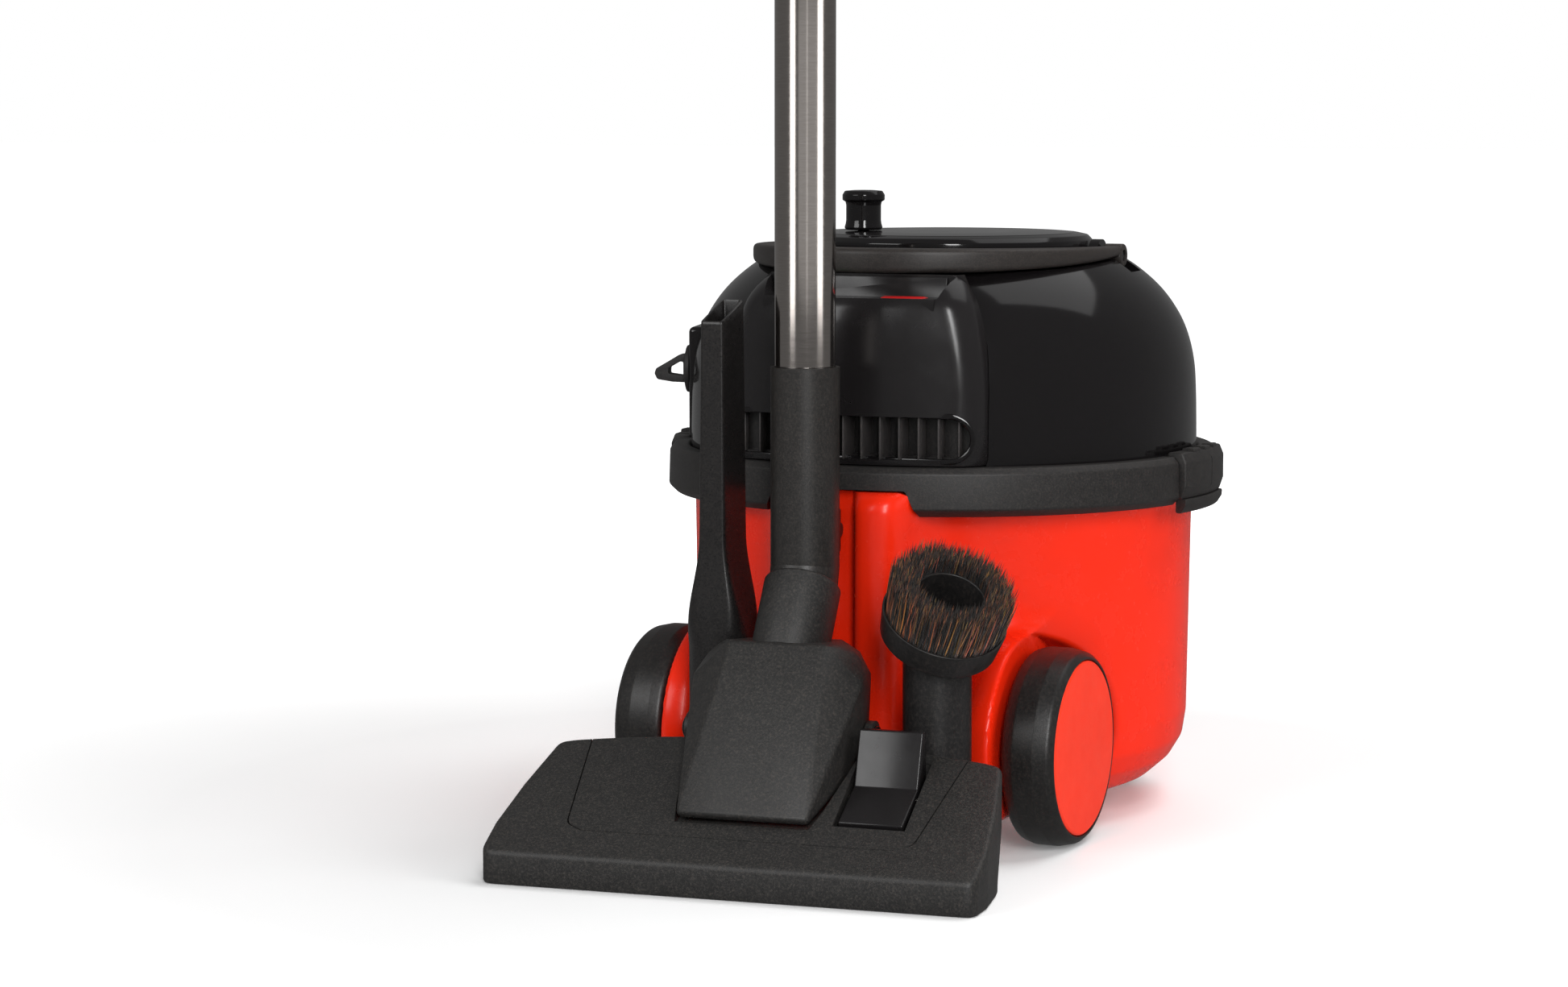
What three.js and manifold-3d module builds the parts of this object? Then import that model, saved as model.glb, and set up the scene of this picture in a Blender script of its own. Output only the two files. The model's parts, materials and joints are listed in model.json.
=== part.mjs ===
// A compact cylinder vacuum cleaner, seen as it is stored: the wand with its combination floor tool, a
// crevice tool and a dusting brush are parked on the back of the tub. Millimetres, +Z up. The rear
// wheels and the parked tools are on the -Y side, the hose inlet is on the +Y side.
import * as THREE from 'three';
import { ConvexGeometry } from 'three/addons/geometries/ConvexGeometry.js';
import { mergeVertices } from 'three/addons/utils/BufferGeometryUtils.js';
import Module from 'manifold-3d';

const wasm = await Module();
wasm.setup();

// ---- driving dimensions ----
const GAP = 0.3; // between pieces that touch
const ORIGIN = [0.35, 87.76]; // the tub's axis, counted from the middle of the whole outline
const FINE = 32; // sides of the large round parts
const MEDIUM = 18;
const COARSE = 12;

const RIM_Z = 186; // top of the tub, where the head comes off
const HEAD_Z = 188;
const RIM_RADIUS = 144;
const WALL = 3;
const RING = { inner: RIM_RADIUS + 0.4, outer: 156.5, low: 176, high: 202, notchHalf: 38, notchZ: 190 };

const WHEEL = { radius: 53, y: -117, inner: 97, outer: 128, well: 58 };
const AXLE_RADIUS = 5;
const CASTOR = { x: 76, y: 74, radius: 11, width: 13, trail: 8, pocket: 21.5, pocketHigh: 28 };

const PANEL = { half: 74, low: 203, high: 291.5, curve: 190, centreY: 40, back: -120, wall: 3 };
const VENT = { half: 70, low: 206, high: 229, pitch: 10.4, fin: 1.2 };
const TRAY = { half: 49.5, low: 285, floor: 291.5, high: 302, front: -141, back: -119 };
const ROCKER = { x: 29, y: -131, length: 24, width: 12, z: 290 };

const DISC = { radius: 84, low: 311, high: 322 };
const KNOB = { x: -40, y: -23, radius: 12, high: 346 };
const HANDLE = {
  inner: 102.5, outer: 121, squash: 0.9, low: 303.3, high: 317, pivotY: 12, pivotZ: 310, ear: 87.8,
};
const LATCH = { inner: 147.5, outer: 159.5, seat: 146, low: 171, high: 205, halfAngle: 12.5 };
const LATCH_HINGE = { x: 152, z: 181 };
const OUTLET = { azimuth: 196, z: 243, low: 204, high: 268, outer: 144.5, inner: 128, half: 18,
  bore: 12.3 };
const PORT = { z: 112, radius: 27, bore: 17.5, outer: 157.5 };

const DOCK = { half: 38, face: -165, slotHalf: 11, slotLow: 60, slotBack: -147 };
const CADDY = { half: 92, front: -214, back: -142, low: 20, high: 36, peg: 15.4, pegHigh: 82 };
const BRUSH = { x: 74.6, y: -196, neck: 18, cupBase: 118, lean: 34, azimuth: -45 };
const CREVICE = { x: -50.6, y: -190, cuff: 18, low: 37, cuffHigh: 104, neckHigh: 168, high: 281, rise: 10 };

const TOOL = { x: -3, y: -195, yaw: 5.5, front: -126, halfFront: 131.5, halfRear: 121 };
const TOOL_TOP = { ridge: 17.5, slope: 0.5 };
const TOOL_REAR = { topY: -38, bottomY: -48, lowZ: 3 };
const PIVOT = { y: -32, z: 70 };
const PEDAL = {
  left: 49, right: 83, frontY: -90, bendY: -62, rearY: -42, hingeZ: 43, topY: -53.5, topZ: 77.7,
};
const WAND = { y: 6.7, tube: 16, wall: 1.1, low: 164, high: 636 };
const ELBOW = { sleeve: 18.2, high: 257.5, bendZ: 148, bore: 14 };
const CUFF = { lean: 34, outer: 20.4, inner: 18.7, start: 6.5, end: 40 };

const degrees = Math.PI / 180;

// ---- materials ----
function material(color, roughness, metalness = 0) {
  return new THREE.MeshStandardMaterial({ color, roughness, metalness });
}

const RED = material(0xe03018, 0.3);
const HUB_RED = material(0xe8452e, 0.45);
const GLOSS_BLACK = material(0x16151a, 0.12);
const SATIN_BLACK = material(0x2a2829, 0.4);
const CHARCOAL = material(0x3a3938, 0.65);
const RUBBER = material(0x242322, 0.8);
const STEEL = material(0x9a9490, 0.3, 1);
const COPPER = material(0xb0652f, 0.4, 0.8);
const IRON = material(0x55555a, 0.5, 0.8);
const PAPER = material(0xd8cbb0, 0.9);
const CLOTH = material(0x8f9497, 0.95);
const HAIR = material(0x3c2415, 0.9);
const ROCKER_RED = material(0xc02020, 0.35);
const ROCKER_GREEN = material(0x1c8a45, 0.35);
const BOARD = material(0x2c6b3c, 0.6);

// ---- solids ----
function solidOf(geometry) {
  const bare = geometry.clone();
  bare.deleteAttribute('normal');
  bare.deleteAttribute('uv');
  const merged = mergeVertices(bare, 1e-4);
  const points = merged.attributes.position.array;
  const corner = (i) => new THREE.Vector3().fromArray(points, 3 * i);
  const triangles = [];
  let volume = 0;
  for (let i = 0; i < merged.index.count; i += 3) {
    const [a, b, c] = merged.index.array.slice(i, i + 3);
    if (a === b || b === c || a === c) continue;
    triangles.push([a, b, c]);
    volume += corner(a).dot(corner(b).cross(corner(c)));
  }
  const order = volume < 0 ? triangles.map(([a, b, c]) => [a, c, b]) : triangles;
  const triVerts = Uint32Array.from(order.flat());
  return new wasm.Manifold(new wasm.Mesh({ numProp: 3, vertProperties: points, triVerts }));
}

function geometryOf(solid) {
  const mesh = solid.getMesh();
  const geometry = new THREE.BufferGeometry();
  geometry.setAttribute('position', new THREE.BufferAttribute(mesh.vertProperties, 3));
  geometry.setIndex(new THREE.BufferAttribute(mesh.triVerts, 1));
  return geometry;
}

const join = (...solids) => solids.reduce((whole, piece) => whole.add(piece));
const cut = (solid, ...tools) => tools.reduce((rest, tool) => rest.subtract(tool), solid);

// A box between two opposite corners.
function block([x0, y0, z0], [x1, y1, z1]) {
  const box = new THREE.BoxGeometry(x1 - x0, y1 - y0, z1 - z0);
  return solidOf(box.translate((x0 + x1) / 2, (y0 + y1) / 2, (z0 + z1) / 2));
}

// A round bar from one point to another.
function rod(from, to, radius, sides = COARSE, endRadius = radius) {
  const start = new THREE.Vector3(...from);
  const along = new THREE.Vector3(...to).sub(start);
  const bar = new THREE.CylinderGeometry(endRadius, radius, along.length(), sides);
  bar.translate(0, along.length() / 2, 0);
  bar.applyQuaternion(new THREE.Quaternion().setFromUnitVectors(new THREE.Vector3(0, 1, 0),
    along.normalize()));
  return solidOf(bar.translate(start.x, start.y, start.z));
}

// A turned shape about Z; the profile is a list of [radius, z].
function turned(profile, sides = FINE) {
  const points = profile.map(([radius, z]) => new THREE.Vector2(radius, z));
  return solidOf(new THREE.LatheGeometry(points, sides).rotateX(Math.PI / 2));
}

// A ring or tube about Z.
const tube = (inner, outer, low, high, sides = FINE) =>
  turned([[inner, low], [outer, low], [outer, high], [inner, high], [inner, low]], sides);

// An outline of [u, v] points pushed along Z.
function prism(outline, low, high) {
  const shape = new THREE.Shape(outline.map(([u, v]) => new THREE.Vector2(u, v)));
  const body = new THREE.ExtrudeGeometry(shape, { depth: high - low, bevelEnabled: false,
    curveSegments: 8 });
  return solidOf(body.translate(0, 0, low));
}

// An outline of [y, z] points pushed along X.
function sidePrism(outline, left, right) {
  const shape = new THREE.Shape(outline.map(([y, z]) => new THREE.Vector2(y, z)));
  const body = new THREE.ExtrudeGeometry(shape, { depth: right - left, bevelEnabled: false });
  return solidOf(body.rotateY(Math.PI / 2).rotateX(Math.PI / 2).translate(left, 0, 0));
}

// An outline of [x, z] points pushed along Y.
function frontPrism(outline, front, back) {
  const shape = new THREE.Shape(outline.map(([x, z]) => new THREE.Vector2(x, z)));
  const body = new THREE.ExtrudeGeometry(shape, { depth: back - front, bevelEnabled: false });
  return solidOf(body.rotateX(Math.PI / 2).translate(0, back, 0));
}

// A slice of a ring about Z between two angles in degrees.
function sector(inner, outer, low, high, from, to, steps = 6) {
  const outline = [];
  for (let i = 0; i <= steps; i += 1) {
    const angle = (from + ((to - from) * i) / steps) * degrees;
    outline.push([outer * Math.cos(angle), outer * Math.sin(angle)]);
  }
  for (let i = steps; i >= 0; i -= 1) {
    const angle = (from + ((to - from) * i) / steps) * degrees;
    outline.push([inner * Math.cos(angle), inner * Math.sin(angle)]);
  }
  return prism(outline, low, high);
}

const hull = (points) => solidOf(new ConvexGeometry(points.map((point) => new THREE.Vector3(...point))));
const mirrored = (points) => points.flatMap(([x, y, z]) => [[x, y, z], [-x, y, z]]);

// ---- scene graph ----
const vacuum = new THREE.Group();
vacuum.position.set(ORIGIN[0], ORIGIN[1], 0);

function part(name, solid, finish, parent = vacuum) {
  const mesh = new THREE.Mesh(geometryOf(solid), finish);
  mesh.name = name;
  parent.add(mesh);
  return mesh;
}

function group(x, y, z, parent = vacuum) {
  const nest = new THREE.Group();
  nest.position.set(x, y, z);
  parent.add(nest);
  return nest;
}

// ---- tub ----
const TUB_PROFILE = [[0, 9], [100, 9], [119, 16.5], [131, 27], [137.5, 38], [139.6, 52], [141, 178],
  [144, 180]];
const TUB_HOLLOW = [[0, 13], [98, 13], [115, 19.5], [127, 29.5], [134.3, 40], [136.6, 53], [138, 178],
  [138, 200]];

function wheelWell(extra) {
  const { y, radius, inner, well } = WHEEL;
  const start = inner - 1.5 - extra;
  const reach = (side) => rod([side * start, y, radius], [side * 170, y, radius], well + extra, MEDIUM);
  return join(reach(1), reach(-1));
}

// The rounded arch on the inboard side of each rear wheel.
function arch(side) {
  const { y, radius, inner } = WHEEL;
  const rounded = rod([side * 66, y + 6, radius + 2], [side * 80, y, radius], 40, MEDIUM, 55);
  const whole = join(rounded, rod([side * 79.9, y, radius], [side * (inner - 1.5), y, radius], 55, MEDIUM,
    60));
  return whole.intersect(block([-120, -200, 14], [120, 0, 130]));
}

function tub() {
  const outer = turned([...TUB_PROFILE, [RIM_RADIUS, RIM_Z], [0, RIM_Z]]);
  const column = block([-DOCK.half, DOCK.face, 24], [DOCK.half, -120, 189]);
  const body = join(outer, column, arch(1), arch(-1));
  const hollow = cut(turned([...TUB_HOLLOW, [0, 200]]), wheelWell(WALL));
  const slot = block([-DOCK.slotHalf, -200, DOCK.slotLow], [DOCK.slotHalf, DOCK.slotBack, 200]);
  const axleHole = rod([-140, WHEEL.y, WHEEL.radius], [140, WHEEL.y, WHEEL.radius], AXLE_RADIUS + 0.1);
  const inlet = rod([0, 100, PORT.z], [0, 170, PORT.z], PORT.radius + GAP, MEDIUM);
  const seat = turned([[0, RIM_Z], [RIM_RADIUS + 2, RIM_Z], [RIM_RADIUS + 2, 210], [0, 210]]);
  const { x, y, pocket, pocketHigh } = CASTOR;
  const castorWell = (side) => rod([side * x, y, 0], [side * x, y, pocketHigh], pocket, MEDIUM);
  const castorCover = (side) => rod([side * x, y, 11], [side * x, y, pocketHigh + 16], pocket + WALL,
    MEDIUM);
  const castorHole = (side) => rod([side * x, y, 0], [side * x, y, pocketHigh + 12], 6.3);
  const inside = turned([[0, 10], [105, 10], [125, 22], [136, 42], [138, 60], [138, 80], [0, 80]]);
  const covers = join(castorCover(1), castorCover(-1)).intersect(inside);
  const shell = join(cut(body, hollow), covers);
  return cut(shell, wheelWell(0), slot, axleHole, inlet, seat, castorWell(1), castorWell(-1), castorHole(1),
    castorHole(-1));
}

// The bumper ring is lower at the sides than over the dock column, and has a seat for each latch.
function bumperRing() {
  const { inner, outer, low, high, notchHalf, notchZ } = RING;
  const ring = turned([[inner, low], [outer - 3, low], [outer, low + 4], [outer - 1.5, high - 2],
    [outer - 4, high],
    [inner, high], [inner, low]]);
  const notch = frontPrism([[-notchHalf - 9, low - 1], [notchHalf + 9, low - 1], [notchHalf, notchZ],
    [-notchHalf, notchZ]], -200, -100);
  const reach = LATCH.halfAngle + 0.6;
  const seat = (middle) => sector(LATCH.seat, 170, 160, 210, middle - reach, middle + reach);
  const { x, z } = LATCH_HINGE;
  const socket = (side) => rod([side * x, -40, z], [side * x, 40, z], 2, 12);
  return cut(ring, notch, seat(0), seat(180), socket(1), socket(-1));
}

// A latch turns on a stub moulded at each end; below the stubs it is thinner, to clear the tub.
function latch() {
  const { inner, outer, low, high, halfAngle } = LATCH;
  const { x, z } = LATCH_HINGE;
  const plate = sector(inner, outer, z - 2, high, -halfAngle, halfAngle);
  const lip = sector(x + 1, outer, low, z - 1.8, -halfAngle, halfAngle);
  const grip = block([outer - 2, -18, high - 3], [outer + 1.5, 18, high]);
  const stubs = rod([x, -37, z], [x, 37, z], 1.6, 12);
  return join(plate, lip, grip, stubs);
}

function inletPort() {
  const flange = rod([0, 134, PORT.z], [0, 146, PORT.z], PORT.radius, MEDIUM);
  const nose = rod([0, 145.9, PORT.z], [0, PORT.outer, PORT.z], PORT.radius + 3, MEDIUM, PORT.radius - 1);
  return cut(join(flange, nose), rod([0, 120, PORT.z], [0, 170, PORT.z], PORT.bore + 2.5, MEDIUM));
}

function inletSeal() {
  const ring = rod([0, 136, PORT.z], [0, 152, PORT.z], PORT.bore + 2.2, MEDIUM);
  return cut(ring, rod([0, 120, PORT.z], [0, 170, PORT.z], PORT.bore, MEDIUM));
}

function tubPieces() {
  part('tub', tub(), RED);
  part('bumper_ring', bumperRing(), CHARCOAL);
  part('inlet_port', inletPort(), SATIN_BLACK);
  part('inlet_seal', inletSeal(), RUBBER);
  part('rim_gasket', tube(133, 143, RIM_Z + GAP, HEAD_Z - GAP), RUBBER);
  for (const [side, name] of [[1, 'right'], [-1, 'left']]) {
    const nest = group(0, 0, 0);
    nest.rotation.z = side > 0 ? 0 : Math.PI;
    part(`latch_${name}`, latch(), CHARCOAL, nest);
  }
}

// ---- dust bag and filter, inside the tub ----
function filterPieces() {
  const collar = cut(block([-34, 119, PORT.z - 34], [34, 122, PORT.z + 34]),
    rod([0, 110, PORT.z], [0, 130, PORT.z], PORT.bore, MEDIUM));
  const bag = turned([[0, 16], [66, 17], [78, 30], [82, 50], [104, 68], [98, 92], [70, 102], [0, 104]],
    MEDIUM);
  const neck = hull([[-20, 60, 50], [20, 60, 50], [-24, 118.6, 92], [24, 118.6, 92], [-24, 118.6, 130],
    [24, 118.6, 130], [-20, 70, 100], [20, 70, 100]]);
  part('bag_collar', collar, PAPER);
  part('dust_bag', join(bag, neck), PAPER);
  part('filter_frame', tube(118, 132.5, 180, RIM_Z + 1.4), SATIN_BLACK);
  const cloth = [[0, 132], [88, 134], [112, 140], [131, 179.7], [127, 179.7], [108, 144], [88, 138],
    [0, 136]];
  part('filter_cloth', turned(cloth, MEDIUM), CLOTH);
}

// ---- wheels ----
function tyre() {
  const { radius, inner, outer } = WHEEL;
  const width = outer - inner;
  const profile = [[AXLE_RADIUS + 0.1, 0], [radius - 7, 0], [radius - 2, 2], [radius, 7],
    [radius, width - 8],
    [radius - 2, width - 3], [radius - 6, width], [47.2, width], [47.2, width - 3],
      [AXLE_RADIUS + 0.1, width - 3],
    [AXLE_RADIUS + 0.1, 0]];
  return turned(profile, FINE);
}

function wheelPieces() {
  const { radius, y, inner, outer } = WHEEL;
  part('rear_axle', rod([-outer + 5, y, radius], [outer - 5, y, radius], AXLE_RADIUS), STEEL);
  for (const [side, name] of [[1, 'right'], [-1, 'left']]) {
    const nest = group(side * inner, y, radius);
    nest.rotation.y = (side * Math.PI) / 2;
    const width = outer - inner;
    part(`tyre_${name}`, tyre(), RUBBER, nest);
    const cap = [[0, width - 2.6], [46.8, width - 2.6], [46.8, width - 0.8], [45.6, width],
      [0, width + 0.8]];
    part(`hub_cap_${name}`, turned(cap, FINE), HUB_RED, nest);
  }
}

// At rest each castor trails outwards, away from the middle of the tub.
function castorPieces() {
  const { x, y, radius, width, trail, pocketHigh } = CASTOR;
  const turretLow = 2 * radius - 1;
  for (const [side, name] of [[1, 'right'], [-1, 'left']]) {
    const nest = group(side * x, y, 0);
    nest.rotation.z = side * 135 * degrees;
    const stem = rod([0, 0, pocketHigh - 2], [0, 0, pocketHigh + 11], 6);
    const turret = rod([0, 0, turretLow], [0, 0, pocketHigh - 1], 10);
    const cheek = (at) => hull([-1.3, 1.3].flatMap((half) => [
      [at + half, -9, turretLow + 2.5], [at + half, 8, turretLow + 2.5],
      [at + half, -trail - 4, radius - 3], [at + half, -trail + 4, radius - 3],
    ]));
    const bridge = block([-9.4, -10, turretLow + 0.8], [9.4, 8, turretLow + 3]);
    const wheelRoom = rod([-7.4, -trail, radius], [7.4, -trail, radius], radius + 1);
    const pin = rod([-8.6, -trail, radius], [8.6, -trail, radius], 1.8, 12);
    const fork = join(cut(join(turret, bridge), wheelRoom), stem, cheek(8.3), cheek(-8.3), pin);
    part(`castor_fork_${name}`, fork, SATIN_BLACK, nest);
    const wheel = cut(rod([-width / 2, -trail, radius], [width / 2, -trail, radius], radius),
      rod([-width, -trail, radius], [width, -trail, radius], 2));
    part(`castor_wheel_${name}`, wheel, RUBBER, nest);
  }
}

// ---- head: dome, rear panel, switches, motor, cable reel ----
const DOME_OUTER = [[RIM_RADIUS, HEAD_Z], [RIM_RADIUS, 201.5], [143.3, 234], [141.8, 252], [137.6, 268],
  [131, 281], [121.5, 293], [108.5, 304], [88.5, 314.3]];
const DOME_INNER = [[84, 307], [98, 305], [117, 292], [127, 279], [134, 266], [138.6, 251], [140.2, 233],
  [141, 201.5], [141, HEAD_Z]];
const DISC_FLOOR = 310;
const SPINDLE_HOLE = 12;

const domeSolid = (extra) => turned([[0, HEAD_Z], ...DOME_OUTER.map(([r, z]) => [r + extra, z + extra]),
  [0, 320]]);

// The block that the rear panel fills, as seen from above and from behind.
function panelBlock(extra, high) {
  const { half, low, curve, centreY } = PANEL;
  const top = half - 12;
  const face = [[-half - extra, low - extra], [half + extra, low - extra], [half + extra, 242],
    [half - 4 + extra, 266], [top + extra, high + extra], [-top - extra, high + extra],
    [-half + 4 - extra, 266], [-half - extra, 242]];
  const plate = frontPrism(face, -160, PANEL.back + extra);
  return plate.intersect(turned([[0, 150], [curve + extra, 150], [curve + extra, 320], [0, 320]], 96)
    .translate([0, centreY, 0]));
}

function outletFrame(parent = vacuum) {
  const nest = group(0, 0, OUTLET.z, parent);
  nest.rotation.z = OUTLET.azimuth * degrees;
  return nest;
}

// Moves a solid made in the outlet's own axes (X outwards) to the vacuum's axes.
const atOutlet = (solid) => solid.rotate([0, 0, OUTLET.azimuth]).translate([0, 0, OUTLET.z]);

function outletBoss(extra) {
  const { outer, inner, half, low, high, z } = OUTLET;
  return block([inner, -half - extra, low - z - extra], [outer, half + extra, high - z + extra]);
}

function dome() {
  const profile = [[SPINDLE_HOLE, DISC_FLOOR], [86, DISC_FLOOR], [86, 315], ...DOME_OUTER.slice().reverse(),
    ...DOME_INNER.slice().reverse(), [SPINDLE_HOLE, 307], [SPINDLE_HOLE, DISC_FLOOR]];
  const { inner, outer, squash, ear: earX, low, pivotY, pivotZ } = HANDLE;
  const groove = cut(tube(inner - 1, outer + 4, low - 1.4, 330).scale([squash, 1, 1]),
    block([-140, pivotY + 12, 290], [140, 140, 340]));
  const ear = (side) => join(
    block([side * earX - 2.8, pivotY - 9, 296], [side * earX + 2.8, pivotY + 9, 312]),
    rod([side * earX - 2.8, pivotY, pivotZ], [side * earX + 2.8, pivotY, pivotZ], 9));
  const ears = [ear(1), ear(-1)].map((lug) => cut(lug, turned([[0, 307], ...DOME_INNER, [0, HEAD_Z]])));
  const trunnion = (side) => rod([side * earX, pivotY, pivotZ], [side * 107, pivotY, pivotZ], 3, 12);
  const pocket = atOutlet(block([120, -OUTLET.half - GAP, OUTLET.low - OUTLET.z - GAP],
    [170, OUTLET.half + GAP, OUTLET.high - OUTLET.z + GAP]));
  const shell = join(cut(turned(profile), groove), ...ears, trunnion(1), trunnion(-1));
  const panelRoom = join(panelBlock(GAP, PANEL.high), block([-TRAY.half - GAP, -160, 270],
    [TRAY.half + GAP, TRAY.back + GAP, TRAY.high + GAP]));
  return cut(shell, panelRoom, pocket);
}

function rearPanel() {
  const { wall, back, low, high, half } = PANEL;
  const inside = panelBlock(-wall, high).intersect(block([-90, -160, low], [90, back + 1, high]));
  const mouth = block([-half + wall, back - 3, low + wall], [half - wall, back + 5, TRAY.low]);
  const end = (VENT.high - VENT.low) / 2;
  const slot = join(frontPrism([[-VENT.half + end, VENT.low], [VENT.half - end, VENT.low],
    [VENT.half - end, VENT.high], [-VENT.half + end, VENT.high]], -170, -128),
  ...[-1, 1].map((side) => rod([side * (VENT.half - end), -170, VENT.low + end],
    [side * (VENT.half - end), -128, VENT.low + end], end)));
  const tray = block([-TRAY.half - GAP, -170, TRAY.low - GAP], [TRAY.half + GAP, -90, high + 5]);
  return cut(panelBlock(0, high), inside, mouth, slot, tray.intersect(block([-90, TRAY.front - GAP, 270],
    [90, -90, 310])), domeSolid(GAP).intersect(block([-90, -160, 286], [90, 0, 340])));
}

// A comb of upright fins held by a rail above and below, just behind the slot.
function ventGrille() {
  const { half, low, high, pitch, fin } = VENT;
  const rail = (z) => block([-half + 2, -134, z], [half - 2, -131, z + 2]);
  const count = Math.floor((half - 8) / pitch);
  const fins = [];
  for (let i = -count; i <= count; i += 1) {
    const depth = -PANEL.centreY + Math.sqrt((PANEL.curve - 4) ** 2 - (i * pitch) ** 2);
    fins.push(block([i * pitch - fin / 2, -depth, low + 0.5], [i * pitch + fin / 2, -132, high + 2.5]));
  }
  return join(rail(low), rail(high + 0.6), ...fins);
}

function switchTray() {
  const { half, low, floor, high, front, back } = TRAY;
  const plate = block([-half, front, low], [half, back - 2, floor]);
  const wall = block([-half, back - 2.1, low], [half, back, high]);
  const pocket = (side) => block([side * ROCKER.x - ROCKER.length / 2 - 0.7, ROCKER.y - 8, low + 1.2],
    [side * ROCKER.x + ROCKER.length / 2 + 0.7, ROCKER.y + 8, floor + 1]);
  return cut(join(plate, wall), pocket(1), pocket(-1));
}

function rocker(side) {
  const { x, y, length, width, z } = ROCKER;
  const outline = [[y - width / 2, z + 1.2], [y - width / 2 + 1, z - 1.6], [y, z - 3.2],
    [y + width / 2 - 1, z - 1.6],
    [y + width / 2, z + 1.2], [y, z + 2.2]];
  return sidePrism(outline, side * x - length / 2, side * x + length / 2);
}

function plug() {
  const { bore } = OUTLET;
  const body = rod([124, 0, 0], [145.5, 0, 0], bore - GAP);
  const rimPlate = rod([145, 0, 0], [148, 0, 0], bore + 1.5);
  const loop = [[147, 8.5], [152, 8], [165, 0.5], [166.5, -3], [165, -6.5], [147, -7.5]];
  const eye = [[149.5, 4], [152, 4], [158.5, 0], [158.5, -3], [149.5, -4]];
  const bow = cut(frontPrism(loop, -6, 6), frontPrism(eye, -10, 10));
  return join(body, rimPlate, bow);
}

function cordLead() {
  const path = new THREE.CatmullRomCurve3([[-86, -24, 294], [-100, -29, 288], [-110, -31.5, 272],
    [-113, -32.4, 256],
    [-113.4, -32.5, OUTLET.z]].map((point) => new THREE.Vector3(...point)));
  const outline = new THREE.Shape();
  outline.absarc(0, 0, 3.3, 0, 2 * Math.PI);
  return solidOf(new THREE.ExtrudeGeometry(outline, { extrudePath: path, steps: 10, curveSegments: 4 }));
}

function handle() {
  const { inner, outer, squash, low, high, pivotY, pivotZ } = HANDLE;
  const bail = cut(tube(inner, outer, low, high).scale([squash, 1, 1]),
    block([-140, pivotY, 290], [140, 140, 340]));
  const eye = (side) => rod([side * inner * squash, pivotY, pivotZ],
    [side * outer * squash, pivotY, pivotZ], 7.8);
  const eyes = [eye(1), eye(-1)].map((lug) => lug.intersect(block([-140, pivotY - 9, low - 0.6],
    [140, 40, high + 3])));
  return cut(join(bail, ...eyes), rod([-118, pivotY, pivotZ], [118, pivotY, pivotZ], 3.4));
}

function motorPieces() {
  const can = turned([[24, 197], [66, 197], [66, 204], [61, 206], [61, 279], [5.2, 279], [5.2, 276],
    [58, 276],
    [58, 200], [24, 200], [24, 197]], MEDIUM);
  const window = (angle) => block([50, -9, 216], [70, 9, 224]).rotate([0, 0, angle]);
  part('motor_can', cut(can, ...[0, 90, 180, 270].map(window)), STEEL);
  part('stator_winding', tube(38, 57, 232, 266, MEDIUM), COPPER);
  part('motor_shaft', rod([0, 0, 201.5], [0, 0, 278.9], 4), STEEL);
  part('rotor', cut(rod([0, 0, 228], [0, 0, 270], 35, MEDIUM), rod([0, 0, 220], [0, 0, 280], 4 + GAP)),
    IRON);
  const fan = cut(rod([0, 0, 203], [0, 0, 212], 50, MEDIUM, 40), rod([0, 0, 200], [0, 0, 220], 4 + GAP));
  part('fan_impeller', fan, SATIN_BLACK);
  const plate = cut(rod([0, 0, HEAD_Z + 0.5], [0, 0, 196.7], 140.6, FINE),
    rod([0, 0, 180], [0, 0, 200], 24, MEDIUM));
  part('motor_plate', plate, SATIN_BLACK);
  part('control_board', block([-40, -112, 262], [40, -110, 281]), BOARD);
}

function reelPieces() {
  part('reel_post', rod([0, 0, 279.3], [0, 0, 301], 8), STEEL);
  part('reel_drum', turned([[8.5, 283], [78, 283], [78, 284.5], [30, 284.5], [30, 303.5], [78, 303.5],
    [78, 305],
    [0, 305], [0, 302], [8.5, 302], [8.5, 283]], MEDIUM), SATIN_BLACK);
  part('cord_winding', tube(30.3, 74, 284.8, 303.2, MEDIUM), RUBBER);
  const { radius, low, high } = DISC;
  const disc = turned([[0, 305.3], [9, 305.3], [9, low], [radius - 1, low], [radius, low + 1],
    [radius, high - 4],
    [radius - 3, high - 1.5], [50, high], [0, high + 1.6]]);
  const knobHole = rod([KNOB.x, KNOB.y, high - 6], [KNOB.x, KNOB.y, high + 9], 3.2);
  part('winder_disc', cut(disc, knobHole), GLOSS_BLACK);
  const nest = group(KNOB.x, KNOB.y, 0);
  part('winder_knob', turned([[0, high - 5.5], [2.9, high - 5.5], [2.9, high + 2], [9.5, high + 2],
    [10.5, high + 4], [9.6, high + 6], [9.8, KNOB.high - 8], [KNOB.radius, KNOB.high - 5],
    [KNOB.radius - 0.4, KNOB.high - 2], [8, KNOB.high], [0, KNOB.high]], COARSE), GLOSS_BLACK, nest);
}

function headPieces() {
  part('dome_cover', dome(), GLOSS_BLACK);
  part('rear_panel', rearPanel(), SATIN_BLACK);
  part('vent_grille', ventGrille(), SATIN_BLACK);
  part('switch_tray', switchTray(), GLOSS_BLACK);
  part('power_rocker', rocker(-1), ROCKER_GREEN);
  part('speed_rocker', rocker(1), ROCKER_RED);
  part('carry_handle', handle(), CHARCOAL);
  const nest = outletFrame();
  const bore = rod([100, 0, 0], [160, 0, 0], OUTLET.bore);
  part('cord_outlet', cut(outletBoss(0), bore), GLOSS_BLACK, nest);
  part('cord_plug', plug(), RUBBER, nest);
  part('cord_lead', cordLead(), RUBBER);
  motorPieces();
  reelPieces();
}

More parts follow.
